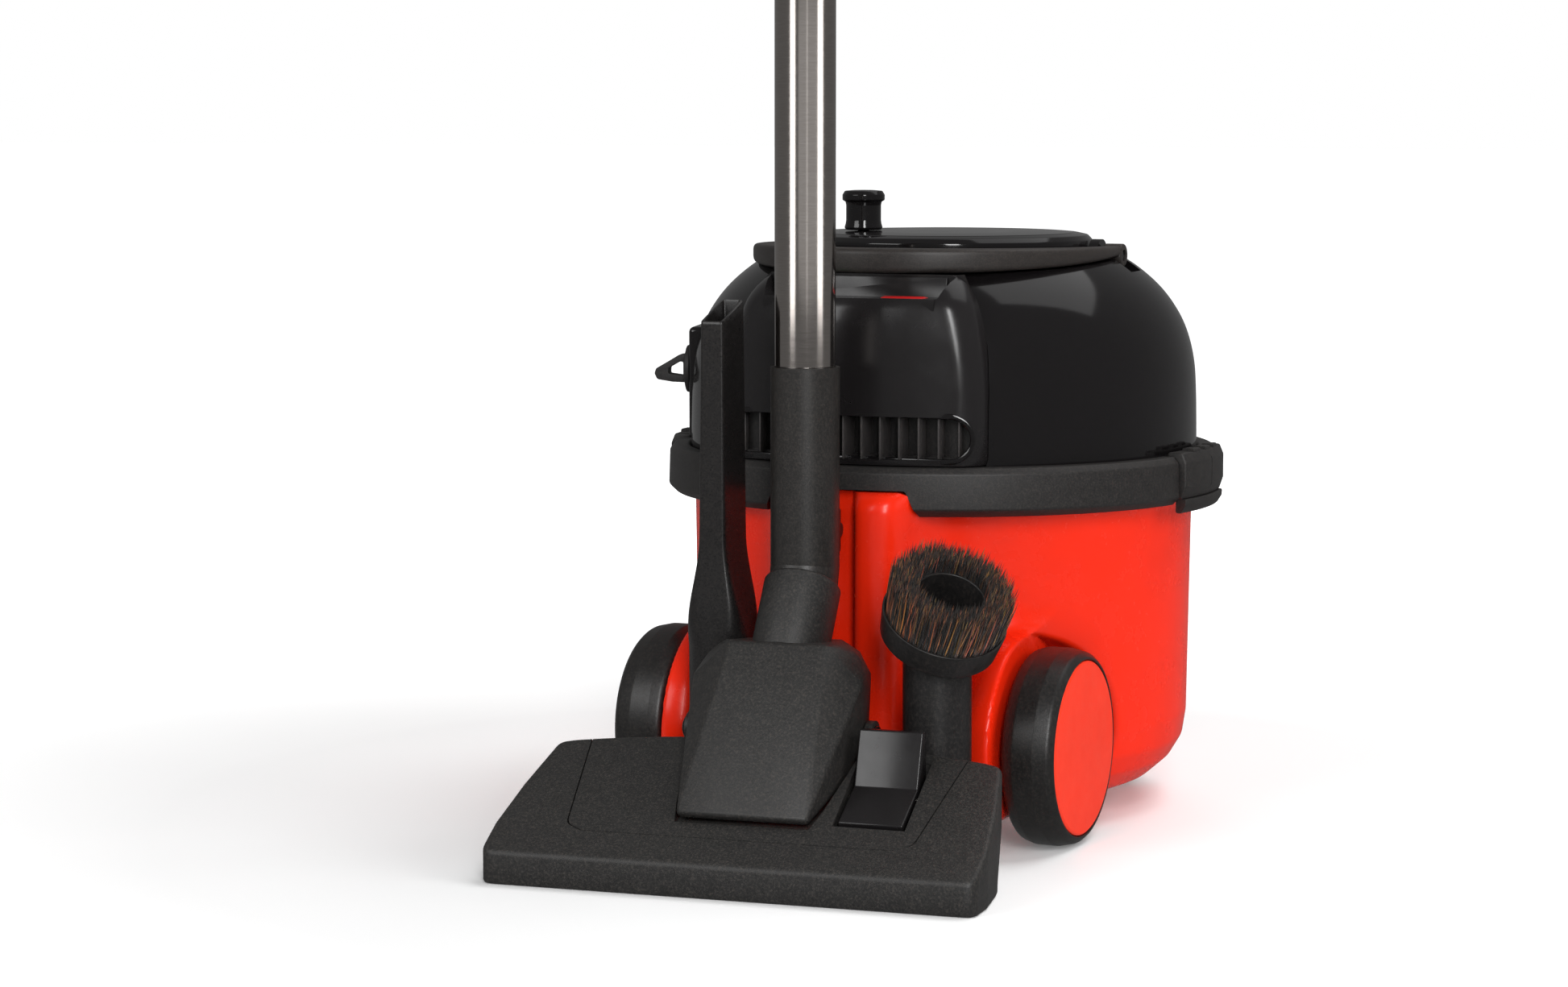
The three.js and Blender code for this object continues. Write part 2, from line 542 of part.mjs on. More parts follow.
// ---- caddy with the two pegs ----
function caddyPieces() {
  const { half, front, back, low, high, peg, pegHigh } = CADDY;
  const shelf = block([-half, front, low], [half, back, high]);
  const post = (x, y) => rod([x, y, high - 1], [x, y, pegHigh], peg);
  const room = join(turned([[0, 0], [145, 0], [145, 60], [0, 60]], MEDIUM),
    block([-DOCK.half - GAP, DOCK.face - GAP, 0], [DOCK.half + GAP, -100, 60]),
    rod([-140, WHEEL.y, WHEEL.radius], [140, WHEEL.y, WHEEL.radius], 61, MEDIUM));
  const corner = (side) => block([side > 0 ? 80 : -100, -230, 0], [side > 0 ? 100 : -80, -205, 60]);
  part('tool_caddy', join(cut(shelf, room, corner(1), corner(-1)), post(BRUSH.x, BRUSH.y),
    post(CREVICE.x, CREVICE.y)), SATIN_BLACK);
}

// ---- crevice tool ----
function nozzleHull(grow) {
  const { cuff, cuffHigh, neckHigh, high, rise } = CREVICE;
  const halfX = 6 + grow;
  const halfY = 13.3 + grow;
  const ring = (radius, z) => Array.from({ length: COARSE }, (_, i) => {
    const angle = (2 * Math.PI * i) / COARSE;
    return [radius * Math.cos(angle), radius * Math.sin(angle), z];
  });
  const square = (z0, z1, dx, dy) => [[dx, -dy, z0], [-dx, -dy, z0], [dx, dy, z1], [-dx, dy, z1]];
  const cone = hull([...ring(cuff + grow, cuffHigh), ...square(neckHigh, neckHigh, halfX + 1, halfY + 1)]);
  return join(cone, hull([...square(neckHigh - 0.1, neckHigh - 0.1, halfX + 1, halfY + 1),
    ...square(high, high + rise, halfX, halfY)]));
}

function creviceTool() {
  const { cuff, low, cuffHigh } = CREVICE;
  const outside = join(rod([0, 0, low], [0, 0, cuffHigh + 0.1], cuff), nozzleHull(0));
  const socket = rod([0, 0, low - 5], [0, 0, cuffHigh + 0.2], cuff - 2);
  const duct = nozzleHull(-1.8).intersect(block([-40, -40, cuffHigh], [40, 40, CREVICE.high + 20]));
  const mouth = block([-4.2, -11.5, CREVICE.high - 8], [4.2, 11.5, CREVICE.high + 20]);
  return cut(outside, socket, duct, mouth);
}

// ---- dusting brush ----
const BRUSH_CUP = { base: 31, rim: 33, height: 17, bore: 17 };

function leaned(solid) {
  return solid.rotate([0, BRUSH.lean, 0]).rotate([0, 0, BRUSH.azimuth]).translate([0, 0, BRUSH.cupBase]);
}

function brushBody() {
  const { base, rim, height, bore } = BRUSH_CUP;
  const cup = leaned(turned([[0, -1], [base - 4, -1], [base, 2], [rim, height], [rim - 2, height],
    [base - 1, 4],
    [bore + 2, 4], [bore + 2, height + 14], [0, height + 14]], MEDIUM));
  const neck = rod([0, 0, CADDY.high + 1], [0, 0, BRUSH.cupBase - 1], BRUSH.neck);
  const knuckle = solidOf(new THREE.SphereGeometry(BRUSH.neck, COARSE, 8).translate(0, 0,
    BRUSH.cupBase - 1));
  const bend = solidOf(new THREE.SphereGeometry(BRUSH.neck - 2, COARSE, 8).translate(0, 0,
    BRUSH.cupBase - 1));
  const socket = rod([0, 0, CADDY.high - 5], [0, 0, BRUSH.cupBase - 1], BRUSH.neck - 2);
  const throat = leaned(rod([0, 0, 0], [0, 0, height + 20], bore));
  return cut(join(cup, neck, knuckle), socket, bend, throat);
}

function brushBristles() {
  const { base, height, bore } = BRUSH_CUP;
  return leaned(turned([[bore + 2.4, 4.4], [base - 1.4, 4.4], [base - 1, height], [base + 0.5, 42],
    [bore + 3, 42],
    [bore + 2.4, 4.4]], MEDIUM));
}

// ---- floor tool with its neck and wand ----
const surfaceZ = (y) => TOOL_TOP.ridge + TOOL_TOP.slope * (y - TOOL.front);

function toolOutside() {
  const { front, halfFront, halfRear } = TOOL;
  const { ridge } = TOOL_TOP;
  const { topY, bottomY, lowZ } = TOOL_REAR;
  const side = [[front + 2, 0], [front, 3], [front, ridge - 1.5], [front + 1.5, ridge + 0.6],
    [topY - 3, surfaceZ(topY - 3)],
    [topY, surfaceZ(topY) - 2], [bottomY + 4, lowZ + 12], [bottomY, lowZ], [front + 20, lowZ],
      [front + 14, 0]];
  const plan = [[-halfFront, front - 1], [halfFront, front - 1], [halfRear, topY], [halfRear - 4, topY + 6],
    [-halfRear + 4, topY + 6], [-halfRear, topY]];
  return sidePrism(side, -140, 140).intersect(prism(plan, -5, 90));
}

const HOOD_POINTS = mirrored([[35, -97, 37.5], [34, -94, 34], [25.5, -40, 118], [46, -40, 99],
  [46, -36, 62], [46, -24, 99], [40, -26, 111.5], [44.5, -26, 105.5], [44, -22, 62], [20, 8, 114],
  [24, 4, 96], [42, -56, 50], [36, -24, 50]]);

// The prism under the inset cover; seam is how far inside the cover's edge its outline runs.
function coverPrism(seam) {
  const outline = [[-92 + seam, -103 + seam], [-84, -106.5 + seam], [84, -106.5 + seam],
    [92 - seam, -103 + seam],
    [104 - seam, -30], [-104 + seam, -30]];
  return prism(outline, 0, 90);
}

const aboveSlope = (depth) => sidePrism([[-130, surfaceZ(-130) - depth], [-20, surfaceZ(-20) - depth],
  [-20, 120],
  [-130, 120]], -140, 140);

function pedalPocket() {
  const { left, right, frontY, rearY, bendY } = PEDAL;
  const side = [[frontY - 3, 80], [frontY - 3, surfaceZ(frontY) - 7], [bendY, surfaceZ(bendY) - 16],
    [rearY + 1.2, surfaceZ(bendY) - 9], [rearY + 1.2, 80]];
  return sidePrism(side, left - 2, right + 2);
}

function pedal() {
  const { left, right, frontY, bendY, topY, topZ, hingeZ } = PEDAL;
  const side = [[frontY, surfaceZ(frontY) + 0.8], [bendY - 1, surfaceZ(bendY) + 0.8], [topY, topZ],
    [topY + 6.3, topZ - 0.5], [topY + 5, surfaceZ(bendY) - 3], [bendY + 4, hingeZ - 1],
    [bendY - 4, hingeZ - 1], [frontY + 1, surfaceZ(frontY) - 3]];
  return cut(sidePrism(side, left, right), rod([left - 5, bendY, hingeZ + 1],
    [right + 5, bendY, hingeZ + 1], 1.8));
}

function toolWheelRoom(side) {
  return rod([side * 105, -60, 7], [side * 117, -60, 7], 8.5);
}

function toolPieces(nest) {
  const outside = toolOutside();
  const room = hull(HOOD_POINTS.map(([x, y, z]) => [x * 1.045, y * 1.015 - 0.6, z < 90 ? z - 2.2 : z]));
  const wheelRooms = [toolWheelRoom(1), toolWheelRoom(-1)];
  const hollow = block([-103.3, -112.3, -5], [103.3, -62.7, 12]);
  const cavity = join(hollow, block([-60, -75, 5], [60, -52, 30]), room);
  const shell = cut(outside, coverPrism(-GAP).intersect(aboveSlope(4.3)), cavity, pedalPocket(),
    ...wheelRooms);
  const wheelPin = (side) => rod([side * 104, -60, 7], [side * 118, -60, 7], 1.8);
  const base = join(shell, wheelPin(1), wheelPin(-1));
  part('floor_tool_base', base, CHARCOAL, nest);
  const ear = (side) => join(rod([side * 47, PIVOT.y, PIVOT.z], [side * 51, PIVOT.y, PIVOT.z], 8.5),
    block([side > 0 ? 47 : -51, PIVOT.y - 8, surfaceZ(-44) - 3],
      [side > 0 ? 51 : -47, PIVOT.y + 3, PIVOT.z]));
  const lid = cut(outside.intersect(coverPrism(0)).intersect(aboveSlope(4)), room, pedalPocket());
  const screwHole = rod([-60, PIVOT.y, PIVOT.z], [60, PIVOT.y, PIVOT.z], 3.6);
  const clearEar = (side) => cut(ear(side), cut(base, block([-200, -200, -10], [200, 200, 0])),
    pedalPocket());
  part('floor_tool_cover', cut(join(lid, clearEar(1), clearEar(-1)), screwHole), CHARCOAL, nest);
  part('pedal', pedal(), SATIN_BLACK, nest);
  part('pedal_pin', rod([PEDAL.left - 1.7, PEDAL.bendY, PEDAL.hingeZ + 1], [PEDAL.right + 1.7, PEDAL.bendY,
    PEDAL.hingeZ + 1], 1.6, 12), STEEL, nest);
  const slotBox = (front, back) => block([-96, front, 0], [96, back, 10]);
  const sole = cut(block([-103, -112, 3.2], [103, -63, 4.6]), slotBox(-93, -80), slotBox(-104, -98),
    slotBox(-75, -69));
  part('sole_plate', sole, STEEL, nest);
  const strip = (y) => block([-94, y - 2.4, 5.4], [94, y + 2.4, 11]);
  const bar = (x) => block([x - 3, -101, 9.4], [x + 3, -72, 11]);
  part('brush_strip', join(strip(-101), strip(-72), bar(-90), bar(90)), HAIR, nest);
  for (const [side, name] of [[1, 'right'], [-1, 'left']]) {
    const tread = rod([side * 106, -60, 7], [side * 116, -60, 7], 7);
    part(`floor_tool_wheel_${name}`, cut(tread, rod([side * 100, -60, 7], [side * 120, -60, 7], 2.1)),
      RUBBER, nest);
    part(`pivot_screw_${name}`, rod([side * 40, PIVOT.y, PIVOT.z], [side * 52.5, PIVOT.y, PIVOT.z], 3.3,
      16),
      STEEL, nest);
  }
}

// A point on the swivel axis, s millimetres down from the bend of the wand's elbow.
function onSwivel(s) {
  return [0, WAND.y - s * Math.sin(CUFF.lean * degrees), ELBOW.bendZ - s * Math.cos(CUFF.lean * degrees)];
}

function neckHood() {
  const { outer, inner, start, end } = CUFF;
  const inside = hull(HOOD_POINTS.map(([x, y, z]) => [x * 0.92, y * 0.95 - 1.4, z > 90 ? z - 2.6 : z - 5]));
  const shell = cut(hull(HOOD_POINTS), inside);
  const collar = rod(onSwivel(start), onSwivel(end + 10), outer, MEDIUM);
  const bore = rod(onSwivel(-30), onSwivel(end + 14), inner, MEDIUM);
  const screwHole = rod([-60, PIVOT.y, PIVOT.z], [60, PIVOT.y, PIVOT.z], 3.6);
  return cut(join(shell, collar), bore, screwHole);
}

function wandElbow() {
  const { y, tube: radius, low } = WAND;
  const { sleeve, high, bendZ, bore } = ELBOW;
  const knee = [0, y, bendZ];
  const ball = (size) => solidOf(new THREE.SphereGeometry(size, COARSE, 8).translate(...knee));
  const outside = join(rod(knee, [0, y, high], sleeve, MEDIUM), ball(sleeve),
    rod(knee, onSwivel(CUFF.end - 4), sleeve, MEDIUM));
  const hookY = y + sleeve + 17;
  const hook = join(block([-2, hookY - 19, bendZ + 8], [9, hookY, bendZ + 32]),
    rod([-2, hookY, bendZ + 20], [9, hookY, bendZ + 20], 4));
  const socket = rod([0, y, low - GAP], [0, y, high + 10], radius + GAP, MEDIUM);
  const duct = join(rod(knee, [0, y, low], bore, MEDIUM), rod(knee, onSwivel(60), bore, MEDIUM),
    ball(bore));
  return cut(join(outside, hook), socket, duct);
}

function wandPieces(nest) {
  part('neck_hood', neckHood(), CHARCOAL, nest);
  part('wand_elbow', wandElbow(), CHARCOAL, nest);
  const { y, tube: radius, wall, low, high } = WAND;
  part('wand_tube', cut(rod([0, y, low], [0, y, high], radius, MEDIUM),
    rod([0, y, low - 1], [0, y, high + 1],
    radius - wall, MEDIUM)), STEEL, nest);
}

// ---- assembly ----
tubPieces();
filterPieces();
wheelPieces();
castorPieces();
headPieces();
caddyPieces();
part('crevice_tool', creviceTool(), CHARCOAL, group(CREVICE.x, CREVICE.y, 0));
const brush = group(BRUSH.x, BRUSH.y, 0);
part('brush_body', brushBody(), SATIN_BLACK, brush);
part('brush_bristles', brushBristles(), HAIR, brush);
const tool = group(TOOL.x, TOOL.y, 0);
tool.rotation.z = TOOL.yaw * degrees;
toolPieces(tool);
wandPieces(tool);

export default vacuum;
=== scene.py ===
"""A compact tub vacuum with its wand, floor tool, crevice tool and dusting brush parked on its back.

Shapes are drawn in millimetres about the tub's own axis and moved into the frame at the end of each
piece. Pieces of the floor tool and its neck are drawn about the tool's own axis instead.
"""
import json
import math
import random

import bmesh
import bpy
import numpy as np
from mathutils import Matrix, Vector

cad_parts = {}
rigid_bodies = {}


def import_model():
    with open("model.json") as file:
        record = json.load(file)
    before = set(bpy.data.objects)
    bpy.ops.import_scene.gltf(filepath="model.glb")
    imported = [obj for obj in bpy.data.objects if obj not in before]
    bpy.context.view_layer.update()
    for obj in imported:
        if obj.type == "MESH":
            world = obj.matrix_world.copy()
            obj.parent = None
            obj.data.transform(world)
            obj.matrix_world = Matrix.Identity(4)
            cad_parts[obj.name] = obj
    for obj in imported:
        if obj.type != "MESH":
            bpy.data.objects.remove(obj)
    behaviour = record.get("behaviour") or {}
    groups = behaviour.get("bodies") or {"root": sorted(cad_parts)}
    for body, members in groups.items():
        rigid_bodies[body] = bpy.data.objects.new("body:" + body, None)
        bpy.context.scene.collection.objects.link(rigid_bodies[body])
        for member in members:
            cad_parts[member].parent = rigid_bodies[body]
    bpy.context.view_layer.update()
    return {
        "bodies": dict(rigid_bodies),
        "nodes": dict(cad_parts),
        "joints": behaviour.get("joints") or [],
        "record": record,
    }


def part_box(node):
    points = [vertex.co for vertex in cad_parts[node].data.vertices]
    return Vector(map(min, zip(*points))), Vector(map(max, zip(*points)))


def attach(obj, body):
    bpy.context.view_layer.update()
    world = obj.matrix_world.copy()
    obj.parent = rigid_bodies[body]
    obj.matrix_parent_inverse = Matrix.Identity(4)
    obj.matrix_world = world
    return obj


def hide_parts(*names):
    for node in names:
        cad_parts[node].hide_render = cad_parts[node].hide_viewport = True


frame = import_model()
random.seed(7)


def move(x, y, z):
    return Matrix.Translation((x, y, z))


def spin(degrees, axis="Z"):
    return Matrix.Rotation(math.radians(degrees), 4, axis)


# ---- places and sizes, in millimetres ----
DISC_LOW, DISC_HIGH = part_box("winder_disc")
AXIS = Vector(((DISC_LOW.x + DISC_HIGH.x) / 2, (DISC_LOW.y + DISC_HIGH.y) / 2, 0))
MM = 0.001
WORLD = move(*AXIS) @ Matrix.Scale(MM, 4)
TOOL_YAW = 5.5
TOOL = WORLD @ move(-3, -195, 0) @ spin(TOOL_YAW)

TUB_PROFILE = [(100, 9), (119, 16.5), (131, 27), (137.5, 38), (139.6, 52), (141.4, 172), (144, 180),
               (144, 186)]
DOME_PROFILE = [(144, 188.3), (143.9, 203), (143.3, 234), (141.8, 252), (137.6, 268), (131, 281),
                (121.5, 293), (108.5, 304), (95, 311.8), (87, 314.6)]
BOTH = (1, -1)
SIDES = ((1, "right"), (-1, "left"))
WHEEL_Y, WHEEL_R, WHEEL_IN = -117, 53, 97
CASTOR_X, CASTOR_Y, CASTOR_PARKED, CASTOR_R, CASTOR_TRAIL = 76, 74, 135, 11, 8
INLET_Z = 112
BAIL_AT, BAIL_SQUASH, EAR_X, EAR_HALF = (12, 310), 0.9, 87.8, 2.8
FACE_Y, FACE_R = 40, 190
VENT_LOW, VENT_HIGH, VENT_BACK, FIN_PITCH = 206, 229, -131, 10.4
ROCKER_X = 29
KNOB_AT = (-40, -23)
OUTLET_AZIMUTH, OUTLET_Z = 196, 243
COLUMN_HALF, COLUMN_FACE, SLOT_BACK = 38, 165, 147
WAND_Y, BEND_Z, NECK_LEAN = 6.7, 148, 34
TUBE_R, TUBE_LOW, TUBE_HIGH = 16, 164, 636
SLEEVE_R, SLEEVE_BORE, SLEEVE_TOP = 18.2, 14, 257.5
PIVOT_Y, PIVOT_Z = -32, 70
ROLLER_X, ROLLER_Y, ROLLER_R = 111, -60, 7
HINGE_Y, HINGE_Z = -62, 44
STRIP_ROWS = (-101, -72)
CREVICE_AT, BRUSH_AT = (-50.6, -190), (74.6, -196)
BRUSH_LEAN, CUP_BASE = 34, 118
CAMERA_AT, CAMERA_AZIMUTH, CAMERA_PITCH, LENS = (771.0, -1955.4, 394), 24, 6.016, 84.7

# The floor's own glow grows between two distances in metres; the rest is the world's light.
GLOW_START, GLOW_END, NEAR_GLOW, FAR_GLOW, WORLD_FILL = 0.4, 1.3, 0.12, 0.95, 0.17


# ---- materials ----
def feed(node, inputs):
    """Gives a node's inputs their values, or ties them to other nodes' outputs."""
    for name, value in inputs.items():
        if isinstance(value, bpy.types.NodeSocket):
            node.id_data.links.new(value, node.inputs[name])
        else:
            node.inputs[name].default_value = value


def new_node(tree, kind, inputs):
    node = tree.nodes.new(f"ShaderNode{kind}")
    feed(node, inputs)
    return node


def new_material(name):
    material = bpy.data.materials.new(name)
    material.use_nodes = True
    return material, material.node_tree, material.node_tree.nodes["Principled BSDF"]


def noise(tree, scale, detail, roughness=0.6, stretch=None):
    """A noise in the object's own coordinates, which are metres."""
    place = new_node(tree, "TexCoord", {}).outputs["Object"]
    if stretch:
        place = new_node(tree, "Mapping", {"Scale": stretch, "Vector": place}).outputs["Vector"]
    inputs = {"Scale": scale, "Detail": detail, "Roughness": roughness, "Vector": place}
    return new_node(tree, "TexNoise", inputs).outputs["Fac"]


def ramp(factor, *stops):
    node = new_node(factor.id_data, "ValToRGB", {"Fac": factor})
    elements = node.color_ramp.elements
    for place, _ in stops[1:-1]:
        elements.new(place)
    elements[0].position = stops[0][0]
    elements[-1].position = stops[-1][0]
    for element, (_, color) in zip(elements, stops):
        element.color = (*color, 1)
    return node.outputs["Color"]


def greys(factor, low, high, end=0.7):
    return ramp(factor, (0.3, (low,) * 3), (end, (high,) * 3))


def bump(height, strength, distance=0.0002):
    inputs = {"Strength": strength, "Distance": distance, "Height": height}
    return new_node(height.id_data, "Bump", inputs).outputs["Normal"]


def shades(color, spread):
    """A darker and a lighter shade of a colour."""
    return [tuple(min(1.0, c * (1 + change)) for c in color) for change in (-spread, spread)]


def drift(factor, color, spread):
    """The colour, drifting between its darker and lighter shades."""
    low, high = shades(color, spread)
    return ramp(factor, (0.3, low), (0.7, high))


def moulded(name, color, roughness, peel=0.06, coat=0.0, shine=0.5):
    """Smooth moulded plastic: slight orange peel, faint colour drift and uneven gloss."""
    material, tree, shader = new_material(name)
    feed(shader, {"Base Color": drift(noise(tree, 22, 2), color, 0.04),
                  "Roughness": greys(noise(tree, 60, 4), roughness * 0.85, roughness * 1.2, 0.75),
                  "Normal": bump(noise(tree, 260, 2), peel), "Coat Weight": coat,
                  "Coat Roughness": 0.06, "Specular IOR Level": shine})
    return material


def grained(name, color, roughness, grain, speckle, scale):
    """Charcoal plastic with a spark-eroded grain: fine bumps and lighter, slightly warm specks."""
    material, tree, shader = new_material(name)
    fine = noise(tree, scale, 4, 0.75)
    light = tuple(c * (1 + speckle) + 0.006 for c in color)
    warm = (light[0] * 1.12, light[1] * 1.0, light[2] * 0.9)
    specks = ramp(fine, (0.32, shades(color, 0.3)[0]), (0.5, color), (0.68, warm))
    mottle = greys(noise(tree, scale * 0.22, 3), 0.86, 1.1)
    mix = new_node(tree, "Mix", {})
    mix.data_type = "RGBA"
    mix.blend_type = "MULTIPLY"
    feed(mix, {0: 1.0, 6: specks, 7: mottle})
    feed(shader, {"Base Color": mix.outputs[2], "Normal": bump(fine, grain, 0.0003),
                  "Roughness": greys(fine, roughness * 0.85, min(1, roughness * 1.15))})
    return material


def brushed_steel(name):
    """Tube steel, polished round its girth: faint lines across the tube and slightly streaky gloss."""
    material, tree, shader = new_material(name)
    lines = noise(tree, 120, 4, 0.6, (1, 1, 14))
    streaks = noise(tree, 40, 3, 0.5, (1, 1, 10))
    tone = ramp(lines, (0.3, (0.4, 0.365, 0.34)), (0.7, (0.46, 0.425, 0.4)))
    feed(shader, {"Base Color": tone, "Roughness": greys(streaks, 0.13, 0.17), "Metallic": 1.0,
                  "Normal": bump(lines, 0.03, 0.00005)})
    return material


def hair_material(name):
    """Horsehair: each strand's own colour, from near black to chestnut, comes from its vertex colour."""
    material, tree, shader = new_material(name)
    tint = new_node(tree, "VertexColor", {})
    tint.layer_name = "strand"
    feed(shader, {"Base Color": tint.outputs["Color"], "Roughness": 0.42, "Sheen Weight": 0.2})
    return material


def woven(name, color):
    """Paper or cloth with a fine weave."""
    material, tree, shader = new_material(name)
    weave = noise(tree, 900, 3, 0.7)
    feed(shader, {"Base Color": drift(weave, color, 0.25), "Roughness": 0.9,
                  "Normal": bump(weave, 0.5, 0.0004)})
    return material


RED = moulded("red_gloss", (0.92, 0.023, 0.004), 0.26, peel=0.012, coat=0.05, shine=0.3)
HUB_RED = moulded("red_satin", (0.93, 0.04, 0.012), 0.42, peel=0.03, shine=0.3)
GLOSS_BLACK = moulded("gloss_black", (0.006, 0.0052, 0.0055), 0.1, peel=0.015)
PANEL_BLACK = moulded("panel_black", (0.011, 0.0098, 0.0102), 0.24, peel=0.05)
SATIN_BLACK = grained("satin_black", (0.012, 0.011, 0.011), 0.36, 0.2, 0.3, 900)
TYRE_BLACK = grained("tyre_black", (0.014, 0.013, 0.0125), 0.38, 0.3, 0.3, 600)
CHARCOAL = grained("charcoal", (0.0205, 0.0198, 0.0192), 0.46, 0.5, 0.9, 800)
RING_GREY = grained("ring_grey", (0.0185, 0.0172, 0.0168), 0.5, 0.35, 0.5, 900)
FIN_GREY = grained("fin_grey", (0.05, 0.046, 0.046), 0.4, 0.2, 0.2, 900)
HANDLE_GREY = grained("handle_grey", (0.024, 0.0205, 0.019), 0.45, 0.25, 0.3, 1200)
RUBBER = grained("rubber", (0.016, 0.015, 0.015), 0.6, 0.3, 0.2, 800)
NOZZLE_BLACK = grained("nozzle_black", (0.013, 0.012, 0.012), 0.3, 0.12, 0.2, 900)
BRUSH_BLACK = grained("brush_black", (0.015, 0.014, 0.014), 0.38, 0.4, 0.5, 500)
SLEEVE_BLACK = grained("sleeve_black", (0.019, 0.0175, 0.0165), 0.4, 0.25, 0.4, 900)
STEEL = brushed_steel("brushed_steel")
HAIR = hair_material("horsehair")
ROCKER_RED = moulded("rocker_red", (0.5, 0.012, 0.012), 0.2)
ROCKER_GREEN = moulded("rocker_green", (0.01, 0.32, 0.06), 0.2)
PAPER = woven("bag_paper", (0.62, 0.5, 0.36))
CLOTH = woven("filter_cloth", (0.3, 0.32, 0.33))
COPPER = moulded("copper", (0.5, 0.2, 0.08), 0.35)
BOARD = moulded("board_green", (0.02, 0.16, 0.05), 0.5)
BOARD_GREY = woven("bag_board", (0.5, 0.44, 0.34))
IRON = moulded("laminated_iron", (0.25, 0.25, 0.26), 0.5)


# ---- drawing ----
def rounded(points, radius, steps, closed=True):
    """The same outline with each of its corners turned into a small curve."""
    points = [Vector(p) for p in points]
    result = []
    for i, corner in enumerate(points):
        before = points[i - 1] - corner
        after = points[(i + 1) % len(points)] - corner
        at_end = not closed and i in (0, len(points) - 1)
        if at_end or before.length < 1e-6 or after.length < 1e-6 or before.angle(after) > 3.12:
            result.append(corner)
            continue
        reach = min(radius / math.tan(before.angle(after) / 2), before.length * 0.48, after.length * 0.48)
        start = corner + before.normalized() * reach
        end = corner + after.normalized() * reach
        for k in range(steps + 1):
            t = k / steps
            result.append(start * (1 - t) ** 2 + corner * (2 * t * (1 - t)) + end * t ** 2)
    return result


def curve_through(points, steps):
    """A smooth curve through the points."""
    points = [Vector(p) for p in points]
    padded = [points[0] * 2 - points[1], *points, points[-1] * 2 - points[-2]]
    result = []
    for a, b, c, d in zip(padded, padded[1:], padded[2:], padded[3:]):
        for k in range(steps):
            t = k / steps
            result.append(0.5 * (2 * b + (c - a) * t + (2 * a - 5 * b + 4 * c - d) * t ** 2
                                 + (3 * b - a - 3 * c + d) * t ** 3))
    return [*result, points[-1]]


def placed(name, data):
    """A new object in the scene."""
    item = bpy.data.objects.new(name, data)
    bpy.context.scene.collection.objects.link(item)
    return item


def solid(bm, frame=None):
    """A scratch object from a bmesh, still in millimetres."""
    bmesh.ops.recalc_face_normals(bm, faces=bm.faces)
    mesh = bpy.data.meshes.new("scratch")
    bm.to_mesh(mesh)
    bm.free()
    if frame:
        mesh.transform(frame)
    return placed("scratch", mesh)


def joined_rings(rings, closed=False, caps=False):
    """Skins a list of rings of points; a ring of one point is the tip of a fan."""
    bm = bmesh.new()
    made = [[bm.verts.new(point) for point in ring] for ring in rings]
    pairs = list(zip(made, made[1:]))
    if closed:
        pairs.append((made[-1], made[0]))
    sides = max(len(ring) for ring in made)
    for low, high in pairs:
        for i in range(sides):
            j = (i + 1) % sides
            corners = [low[i % len(low)], low[j % len(low)], high[j % len(high)], high[i % len(high)]]
            corners = list(dict.fromkeys(corners))
            if len(corners) > 2:
                bm.faces.new(corners)
    if caps:
        bm.faces.new(made[0])
        bm.faces.new(made[-1])
    return bm


def circle(count):
    """The cosine and sine of evenly spaced angles."""
    return [(math.cos(math.tau * k / count), math.sin(math.tau * k / count)) for k in range(count)]


def turned(profile, sides, closed=False, frame=None):
    """A turned solid about Z from [radius, z] points; closed profiles make rings."""
    rings = []
    for radius, z in profile:
        rings.append([(radius * c, radius * s, z) for c, s in circle(1 if radius < 1e-4 else sides)])
    return solid(joined_rings(rings, closed), frame)


def prism(outline, low, high, axis="Z"):
    """An outline pushed along an axis; its two numbers are (x, y), (y, z) or (x, z)."""
    at = "XYZ".index(axis)
    return solid(joined_rings([[(*p[:at], w, *p[at:]) for p in outline] for w in (low, high)], caps=True))


def block(low, high):
    (x0, x1), (y0, y1), (z0, z1) = (sorted(pair) for pair in zip(low, high))
    return prism([(x0, y0), (x1, y0), (x1, y1), (x0, y1)], z0, z1)


def rod(start, end, radius, sides=64):
    """A round bar between two points."""
    start, end = Vector(start), Vector(end)
    turn = (end - start).to_track_quat("Z", "Y").to_matrix().to_4x4()
    length = (end - start).length
    profile = [(0, 0), (radius, 0), (radius, length), (0, length)]
    return turned(profile, sides, frame=move(*start) @ turn)


def across(start, end, at, radius, sides=64):
    """A round bar along X, at one (y, z)."""
    return rod((start, *at), (end, *at), radius, sides)


def hull(points):
    bm = bmesh.new()
    for point in points:
        bm.verts.new(point)
    found = bmesh.ops.convex_hull(bm, input=bm.verts)
    inside = [v for v in found["geom_interior"] if isinstance(v, bmesh.types.BMVert)]
    bmesh.ops.delete(bm, geom=inside, context="VERTS")
    bmesh.ops.dissolve_limit(bm, angle_limit=0.01, verts=bm.verts, edges=bm.edges)
    return solid(bm)


def mirror_x(points):
    return [(side * x, y, z) for x, y, z in points for side in BOTH]


def settle(item):
    """Applies the modifiers, so that only the mesh is left."""
    graph = bpy.context.evaluated_depsgraph_get()
    mesh = bpy.data.meshes.new_from_object(item.evaluated_get(graph))
    item.modifiers.clear()
    item.data = mesh
    return item


def combine(item, tools, operation):
    for tool in tools:
        modifier = item.modifiers.new("combine", "BOOLEAN")
        modifier.operation = operation
        modifier.solver = "EXACT"
        modifier.object = tool
        settle(item)
        bpy.data.objects.remove(tool)
    return item


def cut(item, *tools):
    return combine(item, tools, "DIFFERENCE")


def join(item, *tools):
    return combine(item, tools, "UNION")


def common(item, *tools):
    return combine(item, tools, "INTERSECT")


